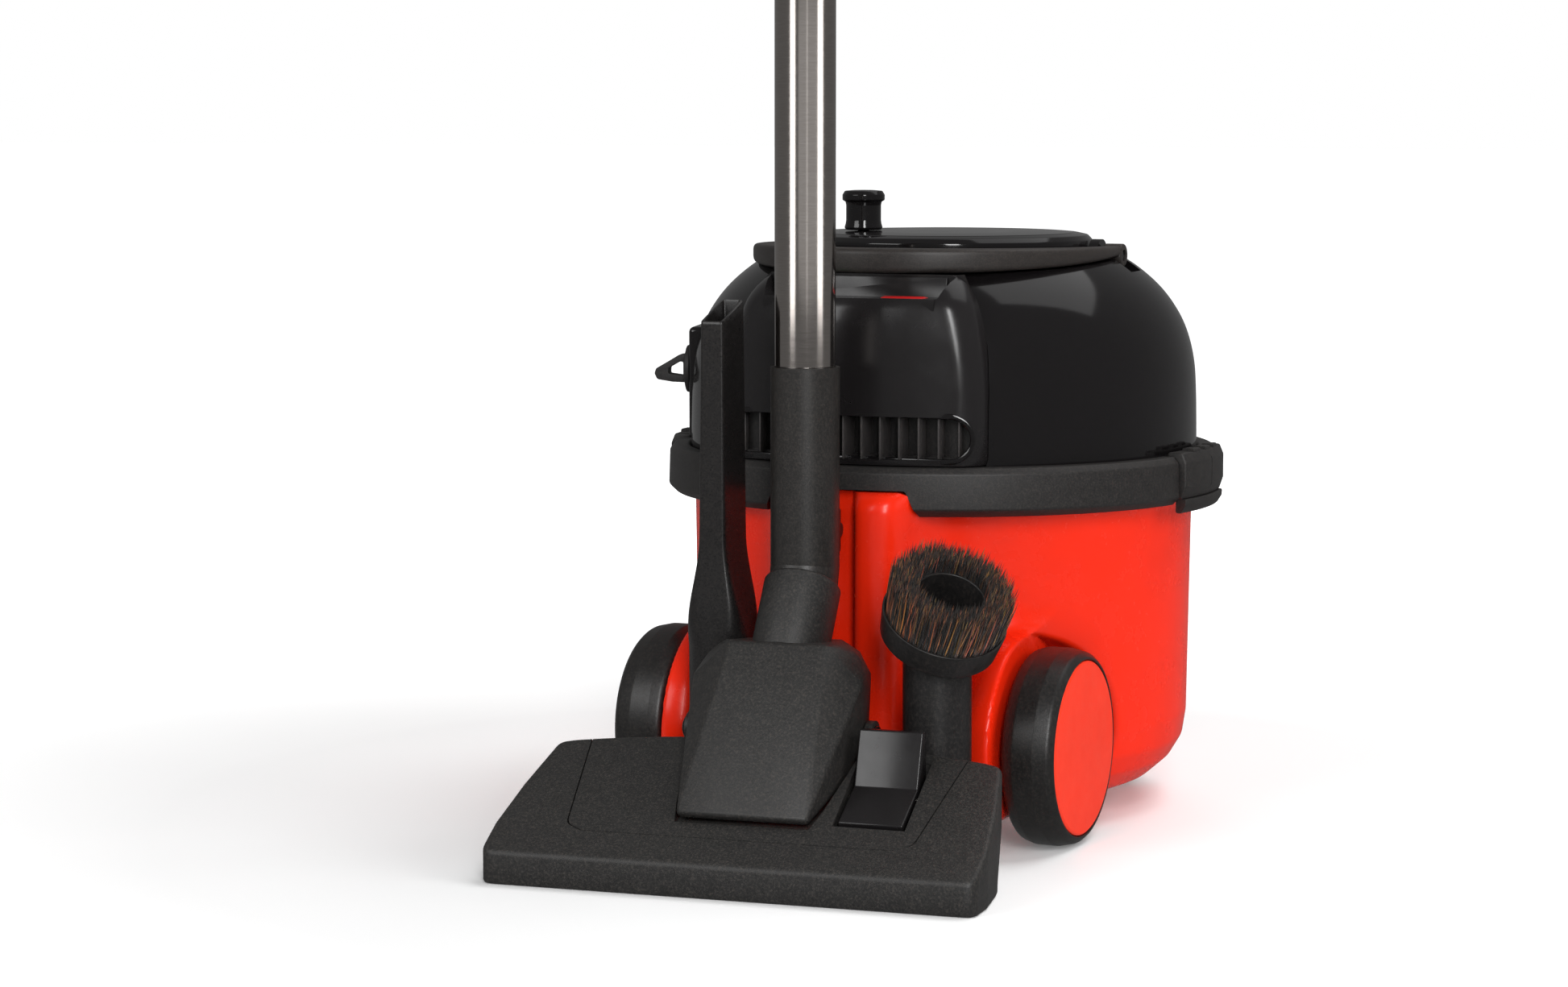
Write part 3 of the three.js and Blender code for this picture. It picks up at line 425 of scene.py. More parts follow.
def bevel(item, width, segments=3, angle=40):
    modifier = item.modifiers.new("bevel", "BEVEL")
    modifier.width = width
    modifier.segments = segments
    modifier.limit_method = "ANGLE"
    modifier.angle_limit = math.radians(angle)
    modifier.use_clamp_overlap = True
    return settle(item)


def finish(item, name, material, body, frame=WORLD, stands_for=(), sharp=35):
    """Names the piece, moves it into the frame, shades it and ties it to its body."""
    item.name = name
    item.data.name = name
    item.data.transform(frame)
    if frame.determinant() < 0:
        item.data.flip_normals()
    item.data.materials.clear()
    item.data.materials.append(material)
    item.data.shade_smooth()
    item.data.set_sharp_from_angle(angle=math.radians(sharp))
    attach(item, body)
    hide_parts(*stands_for)


def merged(*items):
    """Several scratch solids that don't touch, as one."""
    bm = bmesh.new()
    for item in items:
        bm.from_mesh(item.data)
        bpy.data.objects.remove(item)
    return solid(bm)


def swept(section, start, end, steps):
    """A closed [radius, z] section carried round Z between two angles in degrees."""
    rings = []
    for k in range(steps + 1):
        angle = math.radians(start + (end - start) * k / steps)
        rings.append([(r * math.cos(angle), r * math.sin(angle), z) for r, z in section])
    return solid(joined_rings(rings, caps=True))


def box_section(inner, outer, low, high, radius, steps=4):
    return rounded([(inner, low), (outer, low), (outer, high), (inner, high)], radius, steps)


def tubular(path, radius, sides, bore):
    """A round tube along a path, with softened ends."""
    path = [Vector(p) for p in path]
    rings = []
    normal = Vector((1, 0, 0))
    for i, point in enumerate(path):
        along = (path[min(i + 1, len(path) - 1)] - path[max(i - 1, 0)]).normalized()
        normal = (normal - along * normal.dot(along)).normalized()
        other = along.cross(normal)
        rings.append((point, normal.copy(), other))

    def ring(at, size):
        point, u, v = at
        return [point + (u * c + v * s) * size for c, s in circle(sides)]
    lip = min(0.5, (radius - bore) / 3)
    outer = [ring(rings[0], radius - lip), *[ring(at, radius) for at in rings], ring(rings[-1], radius - lip)]
    return solid(joined_rings([*outer, *[ring(at, bore) for at in reversed(rings)]], closed=True))


# ---- tub ----
BARREL = rounded(TUB_PROFILE, 10, 5, closed=False)
BARREL_R = np.array([p.x for p in BARREL])
BARREL_Z = np.array([p.y for p in BARREL])
WELL_R, WELL_X = 58, 95.5


def smooth_min(a, b, reach):
    near = np.maximum(reach - np.abs(a - b), 0) / reach
    return np.minimum(a, b) - near * near * reach / 4


def smooth_max(a, b, reach):
    return -smooth_min(-a, -b, reach)


def tub_field(x, y, z):
    """Below zero inside the tub's outer shape: the barrel, the dock column and the wheel arches."""
    side = np.abs(x)
    barrel = np.hypot(x, y) - np.interp(z, BARREL_Z, BARREL_R)
    foot = np.clip((40 - z) / 18, 0, 1) ** 2 * 34
    crown = 12 - np.sqrt(144 - np.clip(z - 178, 0, 11) ** 2)
    face = COLUMN_FACE - foot - crown
    column = smooth_max(side - COLUMN_HALF - 0.12 * (y + COLUMN_FACE), -y - face, 16)
    slot = np.maximum(side - 10 - 0.2 * (-y - SLOT_BACK), np.maximum(SLOT_BACK + y, 60 - z))
    column = np.maximum(smooth_max(column, -slot, 6), y)
    hub = np.hypot(y - WHEEL_Y, z - WHEEL_R)
    bulge = (np.maximum(WELL_X - side, 0) / 30) ** 2.6 + (hub / 59) ** 2.6
    arch = np.maximum((bulge ** (1 / 2.6) - 1) * 36, side - WELL_X)
    arch = smooth_max(arch, 16 - z, 6)
    whole = smooth_min(smooth_min(barrel, column, 18), arch, 11)
    return smooth_max(whole, -np.maximum(hub - WELL_R, WELL_X - side), 3)


def tub_skin():
    """The tub's radius for every height and direction, found from outside inwards."""
    behind = np.arange(-76, 76, 0.4)
    around = np.arange(76, 284, 2.5)
    turn = np.radians(np.concatenate([behind, around]))
    heights = np.concatenate([np.interp(np.arange(0, 12), [0, 12], [9, 22]), np.arange(22, 186, 1), [186]])
    phi, level = np.meshgrid(turn, heights)
    column_top = np.clip(np.radians(16) - np.abs((phi + math.pi) % math.tau - math.pi), 0, 0.05) / 0.05
    level = level + np.clip(level - 172, 0, 14) / 14 * 3 * column_top
    radius = np.full(phi.shape, 90.0)
    found = np.zeros(phi.shape, bool)
    for reach in np.arange(206, 90, -1.5):
        inside = (tub_field(reach * np.sin(phi), -reach * np.cos(phi), level) < 0) & ~found
        radius[inside] = reach
        found |= inside
    low, high = radius, radius + 1.5
    for _ in range(9):
        middle = (low + high) / 2
        inside = tub_field(middle * np.sin(phi), -middle * np.cos(phi), level) < 0
        low = np.where(inside, middle, low)
        high = np.where(inside, high, middle)
    return phi, level, low


def tub():
    phi, level, radius = tub_skin()
    rows = [[(0, 0, level[0, 0])]]
    for turn, z, r in zip(phi, level, radius):
        rows.append([(q * math.sin(t), -q * math.cos(t), h) for t, h, q in zip(turn, z, r)])
    floor_z = 14
    for i in range(len(phi) - 1, 0, -6):
        wall = np.minimum(radius[i] - 3, np.interp(level[i], BARREL_Z, BARREL_R) - 3.2)
        rows.append([(q * math.sin(t), -q * math.cos(t), max(h, floor_z))
                     for t, h, q in zip(phi[i], level[i], wall)])
    rows.append([(0, 0, floor_z)])
    shell = solid(joined_rings(rows))
    castors = [rod((side * CASTOR_X, CASTOR_Y, -5), (side * CASTOR_X, CASTOR_Y, 28), 21.5) for side in BOTH]
    inlet = rod((0, 100, INLET_Z), (0, 175, INLET_Z), 27.3)
    cut(shell, merged(*castors, inlet))
    finish(shell, "tub_shell", RED, "base", stands_for=["tub"], sharp=40)


def bumper_ring():
    profile = rounded([(144.4, 176), (152.5, 176), (156.6, 180), (156, 199), (153, 202.4),
                       (144.4, 202.4)], 2.2, 4)
    ring = turned(profile, 192, closed=True)
    notch = prism(rounded([(-47, 170), (47, 170), (38, 190), (-38, 190)], 2, 3), -200, -100, "Y")
    seats = [swept(box_section(146, 175, 150, 215, 0.5), middle - 13, middle + 13, 12) for middle in (0, 180)]
    cut(ring, notch, *seats)
    finish(ring, "ring_band", RING_GREY, "base", stands_for=["bumper_ring"])


def latches():
    """A bowed block with a pressed seam and three grip ribs on its top edge."""
    upper = rounded([(147.6, 179), (157.5, 179), (159.8, 186), (159.8, 199), (157.5, 204.6),
                     (147.6, 204.6)], 1.8, 4)
    lower = rounded([(153.2, 171.4), (156.5, 171.4), (159, 175.5), (159.3, 179.2), (153.2, 179.2)], 1.2, 4)
    for angle, name in ((0, "right"), (180, "left")):
        plate = bevel(swept(upper, -12.4, 12.4, 24), 1.2, 3, 50)
        lip = swept(lower, -12.2, 12.2, 24)
        ribs = [swept(box_section(150.5, 157.5, 203, 206.2, 1.2), a - 1.6, a + 1.6, 6) for a in (-6, 0, 6)]
        seam = swept(box_section(159.1, 163, 165, 210, 0.2), 0.1, 0.45, 2)
        whole = cut(join(plate, lip, *ribs), seam)
        body = f"latch_{name}"
        finish(whole, f"latch_block_{name}", RING_GREY, body, WORLD @ spin(angle), [body])


def inlet():
    toward = move(0, 0, INLET_Z) @ spin(-90, "X")
    profile = rounded([(20.2, 134), (27, 134), (27, 146), (30.5, 146), (30, 149), (26.5, 157.3),
                       (20.2, 157.3)], 1, 4)
    port = turned(profile, 96, closed=True, frame=toward)
    finish(port, "inlet_collar", SATIN_BLACK, "base", stands_for=["inlet_port"])
    lips = rounded([(17.5, 136), (19.9, 136), (19.9, 152.5), (18.4, 152.5), (17.4, 149), (18.6, 146),
                    (17.4, 143), (18.6, 140)], 0.8, 3)
    seal = turned(lips, 96, closed=True, frame=toward)
    finish(seal, "inlet_lip_seal", RUBBER, "base", stands_for=["inlet_seal"])


# ---- wheels ----
def wheels():
    tread = rounded([(6, 0.3), (44, 0.3), (51, 2.5), (53, 9), (53, 20), (51.2, 28), (48.6, 30.6),
                     (47.3, 30.8), (47.1, 28.6), (6, 28.6)], 4.5, 6)
    cap = rounded([(0, 28.8), (46.7, 28.8), (46.7, 30.2), (45.6, 31.1), (0, 31.7)], 0.8, 4, closed=False)
    for side, name in SIDES:
        hub = WORLD @ move(side * WHEEL_IN, WHEEL_Y, WHEEL_R) @ spin(side * 90, "Y")
        body = f"rear_wheel_{name}"
        tyre, disc = turned(tread, 160, closed=True), turned(cap, 160)
        finish(tyre, f"tyre_round_{name}", TYRE_BLACK, body, hub, [f"tyre_{name}"])
        finish(disc, f"hub_disc_{name}", HUB_RED, body, hub, [f"hub_cap_{name}"])


def castors():
    cheek = ((-9, 24), (8, 24), (-12, 8), (-4, 8))
    for side, name in SIDES:
        nest = WORLD @ move(side * CASTOR_X, CASTOR_Y, 0) @ spin(side * CASTOR_PARKED)
        turret = turned(rounded([(0, 22.4), (9.8, 22.4), (9.8, 26.8), (0, 26.8)], 1, 3, closed=False), 64)
        stem = rod((0, 0, 26), (0, 0, 39), 6)
        cheeks = [hull([(x + s, y, z) for s in (-1.3, 1.3) for y, z in cheek]) for x in (-8.3, 8.3)]
        bridge = block((-9.5, -9, 22.6), (9.5, 8, 25))
        pin = across(-9.4, 9.4, (-CASTOR_TRAIL, CASTOR_R), 1.8, 32)
        fork = join(turret, stem, bridge, *cheeks, pin)
        finish(bevel(fork, 0.5, 2), f"castor_yoke_{name}", SATIN_BLACK, f"castor_{name}", nest,
               [f"castor_fork_{name}"])
        tread = rounded([(2.1, -6.4), (9.6, -6.4), (11, -3), (11, 3), (9.6, 6.4), (2.1, 6.4)], 1.4, 4)
        roll = nest @ move(0, -CASTOR_TRAIL, CASTOR_R) @ spin(90, "Y")
        finish(turned(tread, 64, closed=True), f"castor_tread_{name}", RUBBER, f"castor_roller_{name}", roll,
               [f"castor_wheel_{name}"])


# ---- head ----
def bail_sweep(inner, outer, low, high, radius):
    """The carry handle's band, or its groove: deepest at the back and thinner towards its two ends."""
    rings = []
    for k in range(121):
        degrees = 174 + 192 * k / 120
        ease = min(1, abs(degrees - 270) / 90) ** 2
        section = box_section(inner, outer - 6 * ease, low + 6 * ease, high - 1.5 * ease, radius)
        c, s = math.cos(math.radians(degrees)), math.sin(math.radians(degrees))
        rings.append([(BAIL_SQUASH * r * c, r * s, z) for r, z in section])
    return solid(joined_rings(rings, caps=True))


def dome():
    outer = curve_through(DOME_PROFILE, 6)
    inner = curve_through([(84, 307), (98, 304.5), (117, 291.5), (127, 278.5), (134, 265.5), (138.4, 250),
                           (140, 233), (140.6, 202), (140.8, 188.3)], 4)
    floor_under_disc = [(12, 310), (85.8, 310), (85.8, 314), (86.4, 314.6)]
    profile = [*floor_under_disc, *reversed(outer), *reversed(inner), (12, 307)]
    shell = turned(profile, 192, closed=True)
    groove = bail_sweep(101.4, 125, 302.4, 332, 0.6)
    groove = join(groove, *[block((side * 91, 0, 301.4), (side * 113, 24, 330)) for side in BOTH])
    pivot_y, pivot_z = BAIL_AT
    ears = [block((side * EAR_X - EAR_HALF, pivot_y - 9, 296),
                  (side * EAR_X + EAR_HALF, pivot_y + 9, pivot_z)) for side in BOTH]
    tops = [across(side * EAR_X - EAR_HALF, side * EAR_X + EAR_HALF, BAIL_AT, 9) for side in BOTH]
    pins = [across(side * EAR_X, side * 102.8, BAIL_AT, 3, 32) for side in BOTH]
    room = panel_solid(0.35)
    tray = block((-57, -170, 285), (57, -118.5, 310))
    pocket = block((120, -18.3, 203.6), (175, 18.3, 268.4))
    pocket.data.transform(spin(OUTLET_AZIMUTH))
    cut(shell, groove, room, tray, pocket)
    join(shell, *ears, *tops, *pins)
    finish(shell, "dome_shell", GLOSS_BLACK, "head", stands_for=["dome_cover"], sharp=32)


def bowed(x, radius=FACE_R):
    """Y of the rear panel's bowed face."""
    return FACE_Y - math.sqrt(radius ** 2 - x ** 2)


PANEL_Z = [203, 206, 225, 242, 256, 268, 278, 285, 289, 292, 296, 300, 303.5]
PANEL_HALF = [73.2, 74, 74, 74, 73, 71.2, 69, 67, 65.6, 64.2, 61.8, 58.6, 55]
PANEL_INSET = [0.8, 0, 0, 0, 0.2, 0.8, 1.8, 3, 4.6, 6.6, 10, 14.5, 20]


def panel_solid(grow=0.0):
    """The block of the rear panel: a bowed face with round corners that leans in towards its top."""
    rings = []
    edge = 13
    for z, half, inset in zip(PANEL_Z, PANEL_HALF, PANEL_INSET):
        span = half - edge
        front = [(span * k / 12, bowed(span * k / 12, FACE_R - inset)) for k in range(-12, 13)]
        start_y = front[-1][1]
        corner = [(span + edge * math.sin(a), start_y + edge * (1 - math.cos(a)) + 2.5 * math.sin(a))
                  for a in (math.radians(9 * k) for k in range(1, 11))]
        outline = [*[(-x, y) for x, y in reversed(corner)], *front, *corner]
        outline = [(-half, -117), *outline, (half, -117)]
        rings.append([(x + grow * (1 if x > 0 else -1), y - grow, z) for x, y in outline])
    if grow > 0:
        rings.insert(0, [(x, y, 196) for x, y, z in rings[0]])
        rings.append([(x, y, 312) for x, y, z in rings[-1]])
    return solid(joined_rings(rings, caps=True))


def stadium(half, low, high, steps=12):
    """The outline of a slot with round ends, as (x, z)."""
    radius = (high - low) / 2
    middle = (high + low) / 2
    right = [(half - radius + radius * math.sin(a), middle - radius * math.cos(a))
             for a in (math.pi * k / steps for k in range(steps + 1))]
    return right + [(-x, middle * 2 - z) for x, z in right]


def rear_panel():
    body = panel_solid()
    recess = prism([(-50, 291.5), (50, 291.5), (57, 310), (-57, 310)], -175, -119, "Y")
    cut(body, recess)
    cavity = common(panel_solid(-3), block((-90, -160, 205.5), (90, -100, 284)))
    cavity.data.transform(move(0, 4, 0))
    cut(body, cavity, prism(stadium(70, VENT_LOW, VENT_HIGH), -175, -130, "Y"))
    finish(body, "panel_shell", PANEL_BLACK, "head", stands_for=["rear_panel"], sharp=38)
    path = [Vector((x, bowed(x) - 0.1, z)) for x, z in stadium(70.6, VENT_LOW - 0.6, VENT_HIGH + 0.6, 16)]
    rings = []
    for i, point in enumerate(path):
        along = (path[(i + 1) % len(path)] - path[i - 1]).normalized()
        out = Vector((0, -1, 0))
        aside = along.cross(out).normalized()
        rings.append([point + aside * (1.5 * c) + out * s for c, s in circle(10)])
    finish(solid(joined_rings(rings, closed=True)), "vent_bezel", GLOSS_BLACK, "head")


def vent_grille():
    """Upright fins behind the slot, two rails and a dark screen at their backs."""
    places = [FIN_PITCH * k for k in range(-6, 7)]
    fins = [block((x - 0.5, bowed(x, FACE_R - 3.5), 205.6), (x + 0.5, VENT_BACK - 0.2, 231.4))
            for x in places]
    rails = [block((-68, VENT_BACK - 3.5, z), (68, VENT_BACK, z + 2.2)) for z in (205.2, 229.6)]
    comb = bevel(merged(*fins), 0.3, 2)
    finish(comb, "vent_comb", FIN_GREY, "head", stands_for=["vent_grille"])
    screen = block((-68, VENT_BACK + 0.1, 205.2), (68, VENT_BACK + 1, 231.8))
    finish(merged(screen, *rails), "vent_screen", SATIN_BLACK, "head")


def switches():
    shelf = block((-49.5, -140.5, 285.2), (49.5, -121.4, 291.4))
    wall = block((-49.5, -121.6, 285.2), (49.5, -119.4, 302))
    wells = [block((x - 13, -139.2, 286.4), (x + 13, -122.8, 300)) for x in (-ROCKER_X, ROCKER_X)]
    cut(shelf, *wells)
    tray = bevel(join(shelf, wall), 0.5, 2)
    finish(tray, "switch_shelf", PANEL_BLACK, "head", stands_for=["switch_tray"])
    outline = [(-137, 291.6), (-135.8, 288.6), (-131, 287), (-126.2, 288.6), (-125, 291.6), (-131, 292.4)]
    for x, name, material, slot in ((-ROCKER_X, "power_rocker", ROCKER_GREEN, "rocker_green"),
                                    (ROCKER_X, "speed_rocker", ROCKER_RED, "rocker_red")):
        key = prism(rounded(outline, 1.4, 4), x - 12, x + 12, "X")
        finish(bevel(key, 0.6), f"{name}_key", material, name, stands_for=[name])


def carry_handle():
    bail = bail_sweep(102.6, 121, 303.5, 317, 3.2)
    cut(bail, block((-140, BAIL_AT[0], 290), (140, 60, 340)))
    lugs = [across(side * 92.4, side * 103.6, BAIL_AT, 6.6) for side in BOTH]
    join(bail, *[bevel(lug, 1, 3, 50) for lug in lugs])
    cut(bail, across(-115, 115, BAIL_AT, 3.3, 32))
    finish(bail, "handle_bail", HANDLE_GREY, "handle", stands_for=["carry_handle"])


def winder():
    profile = rounded([(0, 305.5), (9, 305.5), (9, 311), (83, 311), (84, 312), (84, 318.4), (81.5, 321),
                       (76, 322.2), (74.6, 321.6), (73.2, 322.4), (50, 323.2), (0, 323.8)], 1.6, 4,
                      closed=False)
    disc = turned(profile, 192)
    cut(disc, rod((*KNOB_AT, 316), (*KNOB_AT, 340), 3.2, 48))
    finish(disc, "winder_top", GLOSS_BLACK, "reel", stands_for=["winder_disc"], sharp=25)
    knob = rounded([(0, 316.6), (2.9, 316.6), (2.9, 323.4), (10.2, 323.6), (10.8, 325), (10.2, 327),
                    (9.9, 329), (9.9, 337.5), (10.3, 339.4), (12, 340.4), (12, 343.4), (10.6, 345.6),
                    (6, 346), (0, 345.4)], 0.9, 4, closed=False)
    finish(turned(knob, 96), "winder_grip", GLOSS_BLACK, "knob",
           WORLD @ move(*KNOB_AT, 0), ["winder_knob"])


def cord_outlet():
    nest = WORLD @ move(0, 0, OUTLET_Z) @ spin(OUTLET_AZIMUTH)
    boss = bevel(block((128, -18, -39), (144.5, 18, 25)), 3, 4)
    cut(boss, rod((100, 0, 0), (160, 0, 0), 12.4))
    finish(boss, "outlet_pad", GLOSS_BLACK, "head", nest, ["cord_outlet"])
    body = rod((124, 0, 0), (145.5, 0, 0), 11.8)
    flange = bevel(rod((145, 0, 0), (148, 0, 0), 13.6), 0.8)
    bow = [(146, 8.8), (152, 8.2), (158, 4.6), (165.5, 0.2), (166.4, -2.6), (164.8, -6), (156, -7.4),
           (146, -7.8)]
    eye = [(149.6, 4.2), (152, 4.2), (158.2, 0.6), (158.4, -2.8), (149.6, -4)]
    loop = prism(rounded(bow, 2, 4), -5.5, 5.5, "Y")
    cut(loop, prism(rounded(eye, 1, 3), -20, 20, "Y"))
    plug = merged(body, flange, bevel(loop, 1.2))
    finish(plug, "plug_grip", RUBBER, "head", nest, ["cord_plug"])


# ---- tools parked on the back ----
def caddy():
    """The shelf between the rear wheels with its two pegs."""
    outline = rounded([(-92, -206), (-82, -214), (82, -214), (92, -206), (92, -142), (-92, -142)], 5, 4)
    shelf = bevel(prism(outline, 20, 36), 1.5)
    cut(shelf, turned([(0, 0), (145, 0), (145, 60), (0, 60)], 128))
    cut(shelf, block((-38.4, -165.4, 0), (38.4, -100, 60)))
    cut(shelf, across(-140, 140, (WHEEL_Y, WHEEL_R), 61, 128))
    pegs = []
    for x, y in (BRUSH_AT, CREVICE_AT):
        peg = rounded([(0, 35), (15.4, 35), (15.4, 82), (0, 82)], 2, 4, closed=False)
        pegs.append(turned(peg, 64, frame=move(x, y, 0)))
    join(shelf, *pegs)
    finish(shelf, "caddy_shelf", SATIN_BLACK, "base", stands_for=["tool_caddy"])


def superellipse(half_x, half_y, power):
    """From a circle at power 2 towards a rectangle with small round corners at high powers."""
    return [(math.copysign(half_x * abs(c) ** (2 / power), c),
             math.copysign(half_y * abs(s) ** (2 / power), s)) for c, s in circle(72)]


def crevice_tool():
    """A round cuff that flows into a flat blade with a slanted, open mouth."""
    def ring(z, shrink=0.0):
        blend = min(1, max(0, (z - 104) / 64))
        blend = blend * blend * (3 - 2 * blend)
        taper = max(0, z - 168) / 118
        half_x = 18 + (7.6 - 18) * blend - taper - shrink
        half_y = 18 + (14.9 - 18) * blend - taper - shrink
        slant = 5 * taper / half_y if z > 280 else 0
        return [(x, y, z + y * slant) for x, y in superellipse(half_x, half_y, 2 + 9 * blend)]
    outside = [ring(37, 0.6), ring(37.6), ring(70), ring(100)]
    outside += [ring(104 + 64 * k / 16) for k in range(17)]
    outside += [ring(z) for z in (200, 240, 270, 279, 285.3)]
    outside += [ring(286, 0.5)]
    inside = [ring(286, 1.5), ring(285, 1.8), ring(279, 1.9), ring(240, 1.9), ring(200, 1.9)]
    inside += [ring(168 - 64 * k / 10, 2) for k in range(11)]
    inside += [ring(70, 2), ring(37, 2)]
    nozzle = solid(joined_rings([*outside, *inside], closed=True))
    place = WORLD @ move(*CREVICE_AT, 0)
    finish(nozzle, "crevice_nozzle", NOZZLE_BLACK, "crevice_tool", place, ["crevice_tool"], sharp=50)


def strands(count, place, name, body, stands_for, frame):
    """Tapered hairs in one mesh; place() gives each hair's root, tip, thickness and colour."""
    vertices, faces, colors = [], [], []
    for _ in range(count):
        root, tip, thick, color = place()
        root, tip = Vector(root), Vector(tip)
        along = (tip - root).normalized()
        side = along.cross(Vector((0.31, 0.87, 0.38))).normalized()
        other = along.cross(side)
        bend = (side * random.uniform(-1, 1) + other * random.uniform(-1, 1)) * (tip - root).length * 0.03
        first = len(vertices)
        for t, size in ((0, 1), (0.5, 0.85), (0.85, 0.6)):
            middle = root.lerp(tip, t) + bend * (4 * t * (1 - t))
            for c, s in circle(3):
                vertices.append(middle + (side * c + other * s) * thick * size)
                colors.append([c * (1.5 - t) + TIP_TONE * t for c in color])
        vertices.append(tip)
        colors.append([c * 0.5 + TIP_TONE for c in color])
        for level in (0, 3):
            for k in range(3):
                a, b = first + level + k, first + level + (k + 1) % 3
                faces.append((a, b, b + 3, a + 3))
        faces += [(first + 6 + k, first + 6 + (k + 1) % 3, first + 9) for k in range(3)]
        faces.append((first + 2, first + 1, first))
    mesh = bpy.data.meshes.new("strands")
    mesh.from_pydata([tuple(v) for v in vertices], [], faces)
    layer = mesh.color_attributes.new("strand", "FLOAT_COLOR", "POINT")
    layer.data.foreach_set("color", [value for color in colors for value in (*color, 1)])
    finish(placed(name, mesh), name, HAIR, body, frame, stands_for, sharp=180)


HAIR_TONES = [(0.004, 0.003, 0.0025), (0.02, 0.0095, 0.005), (0.13, 0.046, 0.013), (0.42, 0.16, 0.045)]
TIP_TONE = 0.002


def dusting_brush():
    place = WORLD @ move(*BRUSH_AT, 0)
    lean = math.radians(BRUSH_LEAN)
    tilt = Vector((math.sin(lean) * math.sqrt(0.5), -math.sin(lean) * math.sqrt(0.5), math.cos(lean)))
    knee = Vector((0, 0, CUP_BASE))
    path = [Vector((0, 0, 37)), Vector((0, 0, 70)), *[Vector((0, 0, 100 + 1.5 * k)) for k in range(8)]]
    path += [knee + Vector((0, 0, -6)).lerp(tilt * 3, k / 6) + Vector((0.3, -0.3, 0)) * (k / 6) * (1 - k / 6)
             for k in range(1, 7)]
    neck = tubular(path, 18, 72, 16)
    leaned = move(*knee) @ spin(-45) @ spin(BRUSH_LEAN, "Y")
    cup = rounded([(16, -1), (27, -1), (31, 2.4), (33, 17), (31.6, 17), (30, 4), (19, 4), (19, 31),
                   (17.4, 31), (16, 4)], 1.1, 4)
    body = merged(neck, turned(cup, 128, closed=True, frame=leaned))
    finish(body, "brush_cup", BRUSH_BLACK, "dusting_brush", place, ["brush_body"], sharp=40)

    def hair():
        angle = random.uniform(0, math.tau)
        root = math.sqrt(random.uniform(19.7 ** 2, 29.4 ** 2))
        spread = random.gauss(0.8, 1.9) + (root - 24) * 0.22
        tip = min(34.2, max(18.2, root + spread))
        height = 42.8 - abs(random.gauss(0, 2.4))
        swing = angle + random.gauss(0, 0.06)
        warm = (root - 19) / 12
        tone = random.choices(HAIR_TONES, (50 - 24 * warm, 24, 10 + 16 * warm, 3 + 14 * warm))[0]
        tone = [c * random.uniform(0.6, 1.4) for c in tone]
        return ((root * math.cos(angle), root * math.sin(angle), 4.5),
                (tip * math.cos(swing), tip * math.sin(swing), height), random.uniform(0.26, 0.46), tone)
    count = 3900
    strands(count, hair, "brush_hair", "dusting_brush", ["brush_bristles"], place @ leaned)


# ---- floor tool ----
def surface_z(y):
    """Height of the floor tool's sloping top."""
    return 17.5 + 0.5 * (y + 126)


def crown(x, y):
    """How much the top swells towards its middle and back."""
    return 6.5 * max(0, 1 - (x / 112) ** 2) * min(1, max(0, (y + 106) / 66)) ** 1.3


TOP_STEPS = [-126, -116, -106, -98, -90, -82, -74, -66, -58, -50, -41]


def lofted(section):
    """Skins (y, z) outlines that change along X."""
    return solid(joined_rings([[(x, y, z) for y, z in section(x)] for x in range(-140, 141, 8)], caps=True))


def above_slope(depth):
    """Everything over a surface that runs the given depth below the crowned top."""
    def section(x):
        low = [(y, surface_z(y) + crown(x, y) - depth) for y in [-140, *TOP_STEPS[1:], -20]]
        return [*low, (-20, 130), (-140, 130)]
    return lofted(section)


def cover_outline(seam):
    return prism(rounded([(-92 + seam, -102 + seam), (-83, -106.5 + seam), (83, -106.5 + seam),
                          (92 - seam, -102 + seam), (104 - seam, -30), (-104 + seam, -30)], 7, 5), 0, 95)


def divided(points, step):
    """A closed outline with extra points, so that no edge is longer than a step."""
    result = []
    for a, b in zip(points, [*points[1:], points[0]]):
        count = max(1, math.ceil((b - a).length / step))
        result += [a.lerp(b, k / count) for k in range(count)]
    return result


def inset(points, distance):
    """A closed outline, drawn anticlockwise, moved inwards."""
    moved = []
    for before, here, after in zip([points[-1], *points], points, [*points[1:], points[0]]):
        along = ((here - before).normalized() + (after - here).normalized()).normalized()
        moved.append(here + Vector((-along.y, along.x)) * distance)
    return moved


def tool_outside():
    """The floor tool's outer shape: bowed sides, round edges and a crowned, sloping top."""
    right = [(130.5, -126), (131, -104), (127.5, -74), (121, -40), (112, -37.5)]
    corners = [(-130.5, -126), *right, *[(-x, y) for x, y in reversed(right[1:])]]
    plan = divided(rounded(corners, 7, 6), 5)

    def top(p, drop):
        return (p.x, p.y, surface_z(p.y) + crown(p.x, p.y) - drop)

    def foot(p, z):
        lean = max(0, p.y + 70) / 32 * 10
        return (p.x, p.y - lean * max(0, 1 - z / 30), z)
    rings = [[foot(p, 0) for p in inset(plan, 2)], [foot(p, 0.6) for p in inset(plan, 0.6)],
             [foot(p, 2) for p in plan]]
    rings.append([foot(p, 2 + (top(p, 2.6)[2] - 2) * 0.5) for p in plan])
    rings += [[top(p, drop) for p in inset(plan, edge)]
              for edge, drop in ((0, 2.6), (0.25, 1.6), (0.8, 0.75), (1.6, 0.2), (2.7, 0))]
    centre = Vector((0, -78))
    flat = inset(plan, 2.7)
    rings += [[top(centre + (p - centre) * scale, 0) for p in flat] for scale in
              (0.94, 0.86, 0.76, 0.64, 0.5, 0.36, 0.22, 0.08)]
    return solid(joined_rings(rings, caps=True))


def pedal_pocket():
    bend = surface_z(HINGE_Y)
    side = [(-93, 80), (-93, surface_z(-90) - 7), (HINGE_Y, bend - 16), (-40.8, bend - 9), (-40.8, 80)]
    return prism(side, 47, 85, "X")


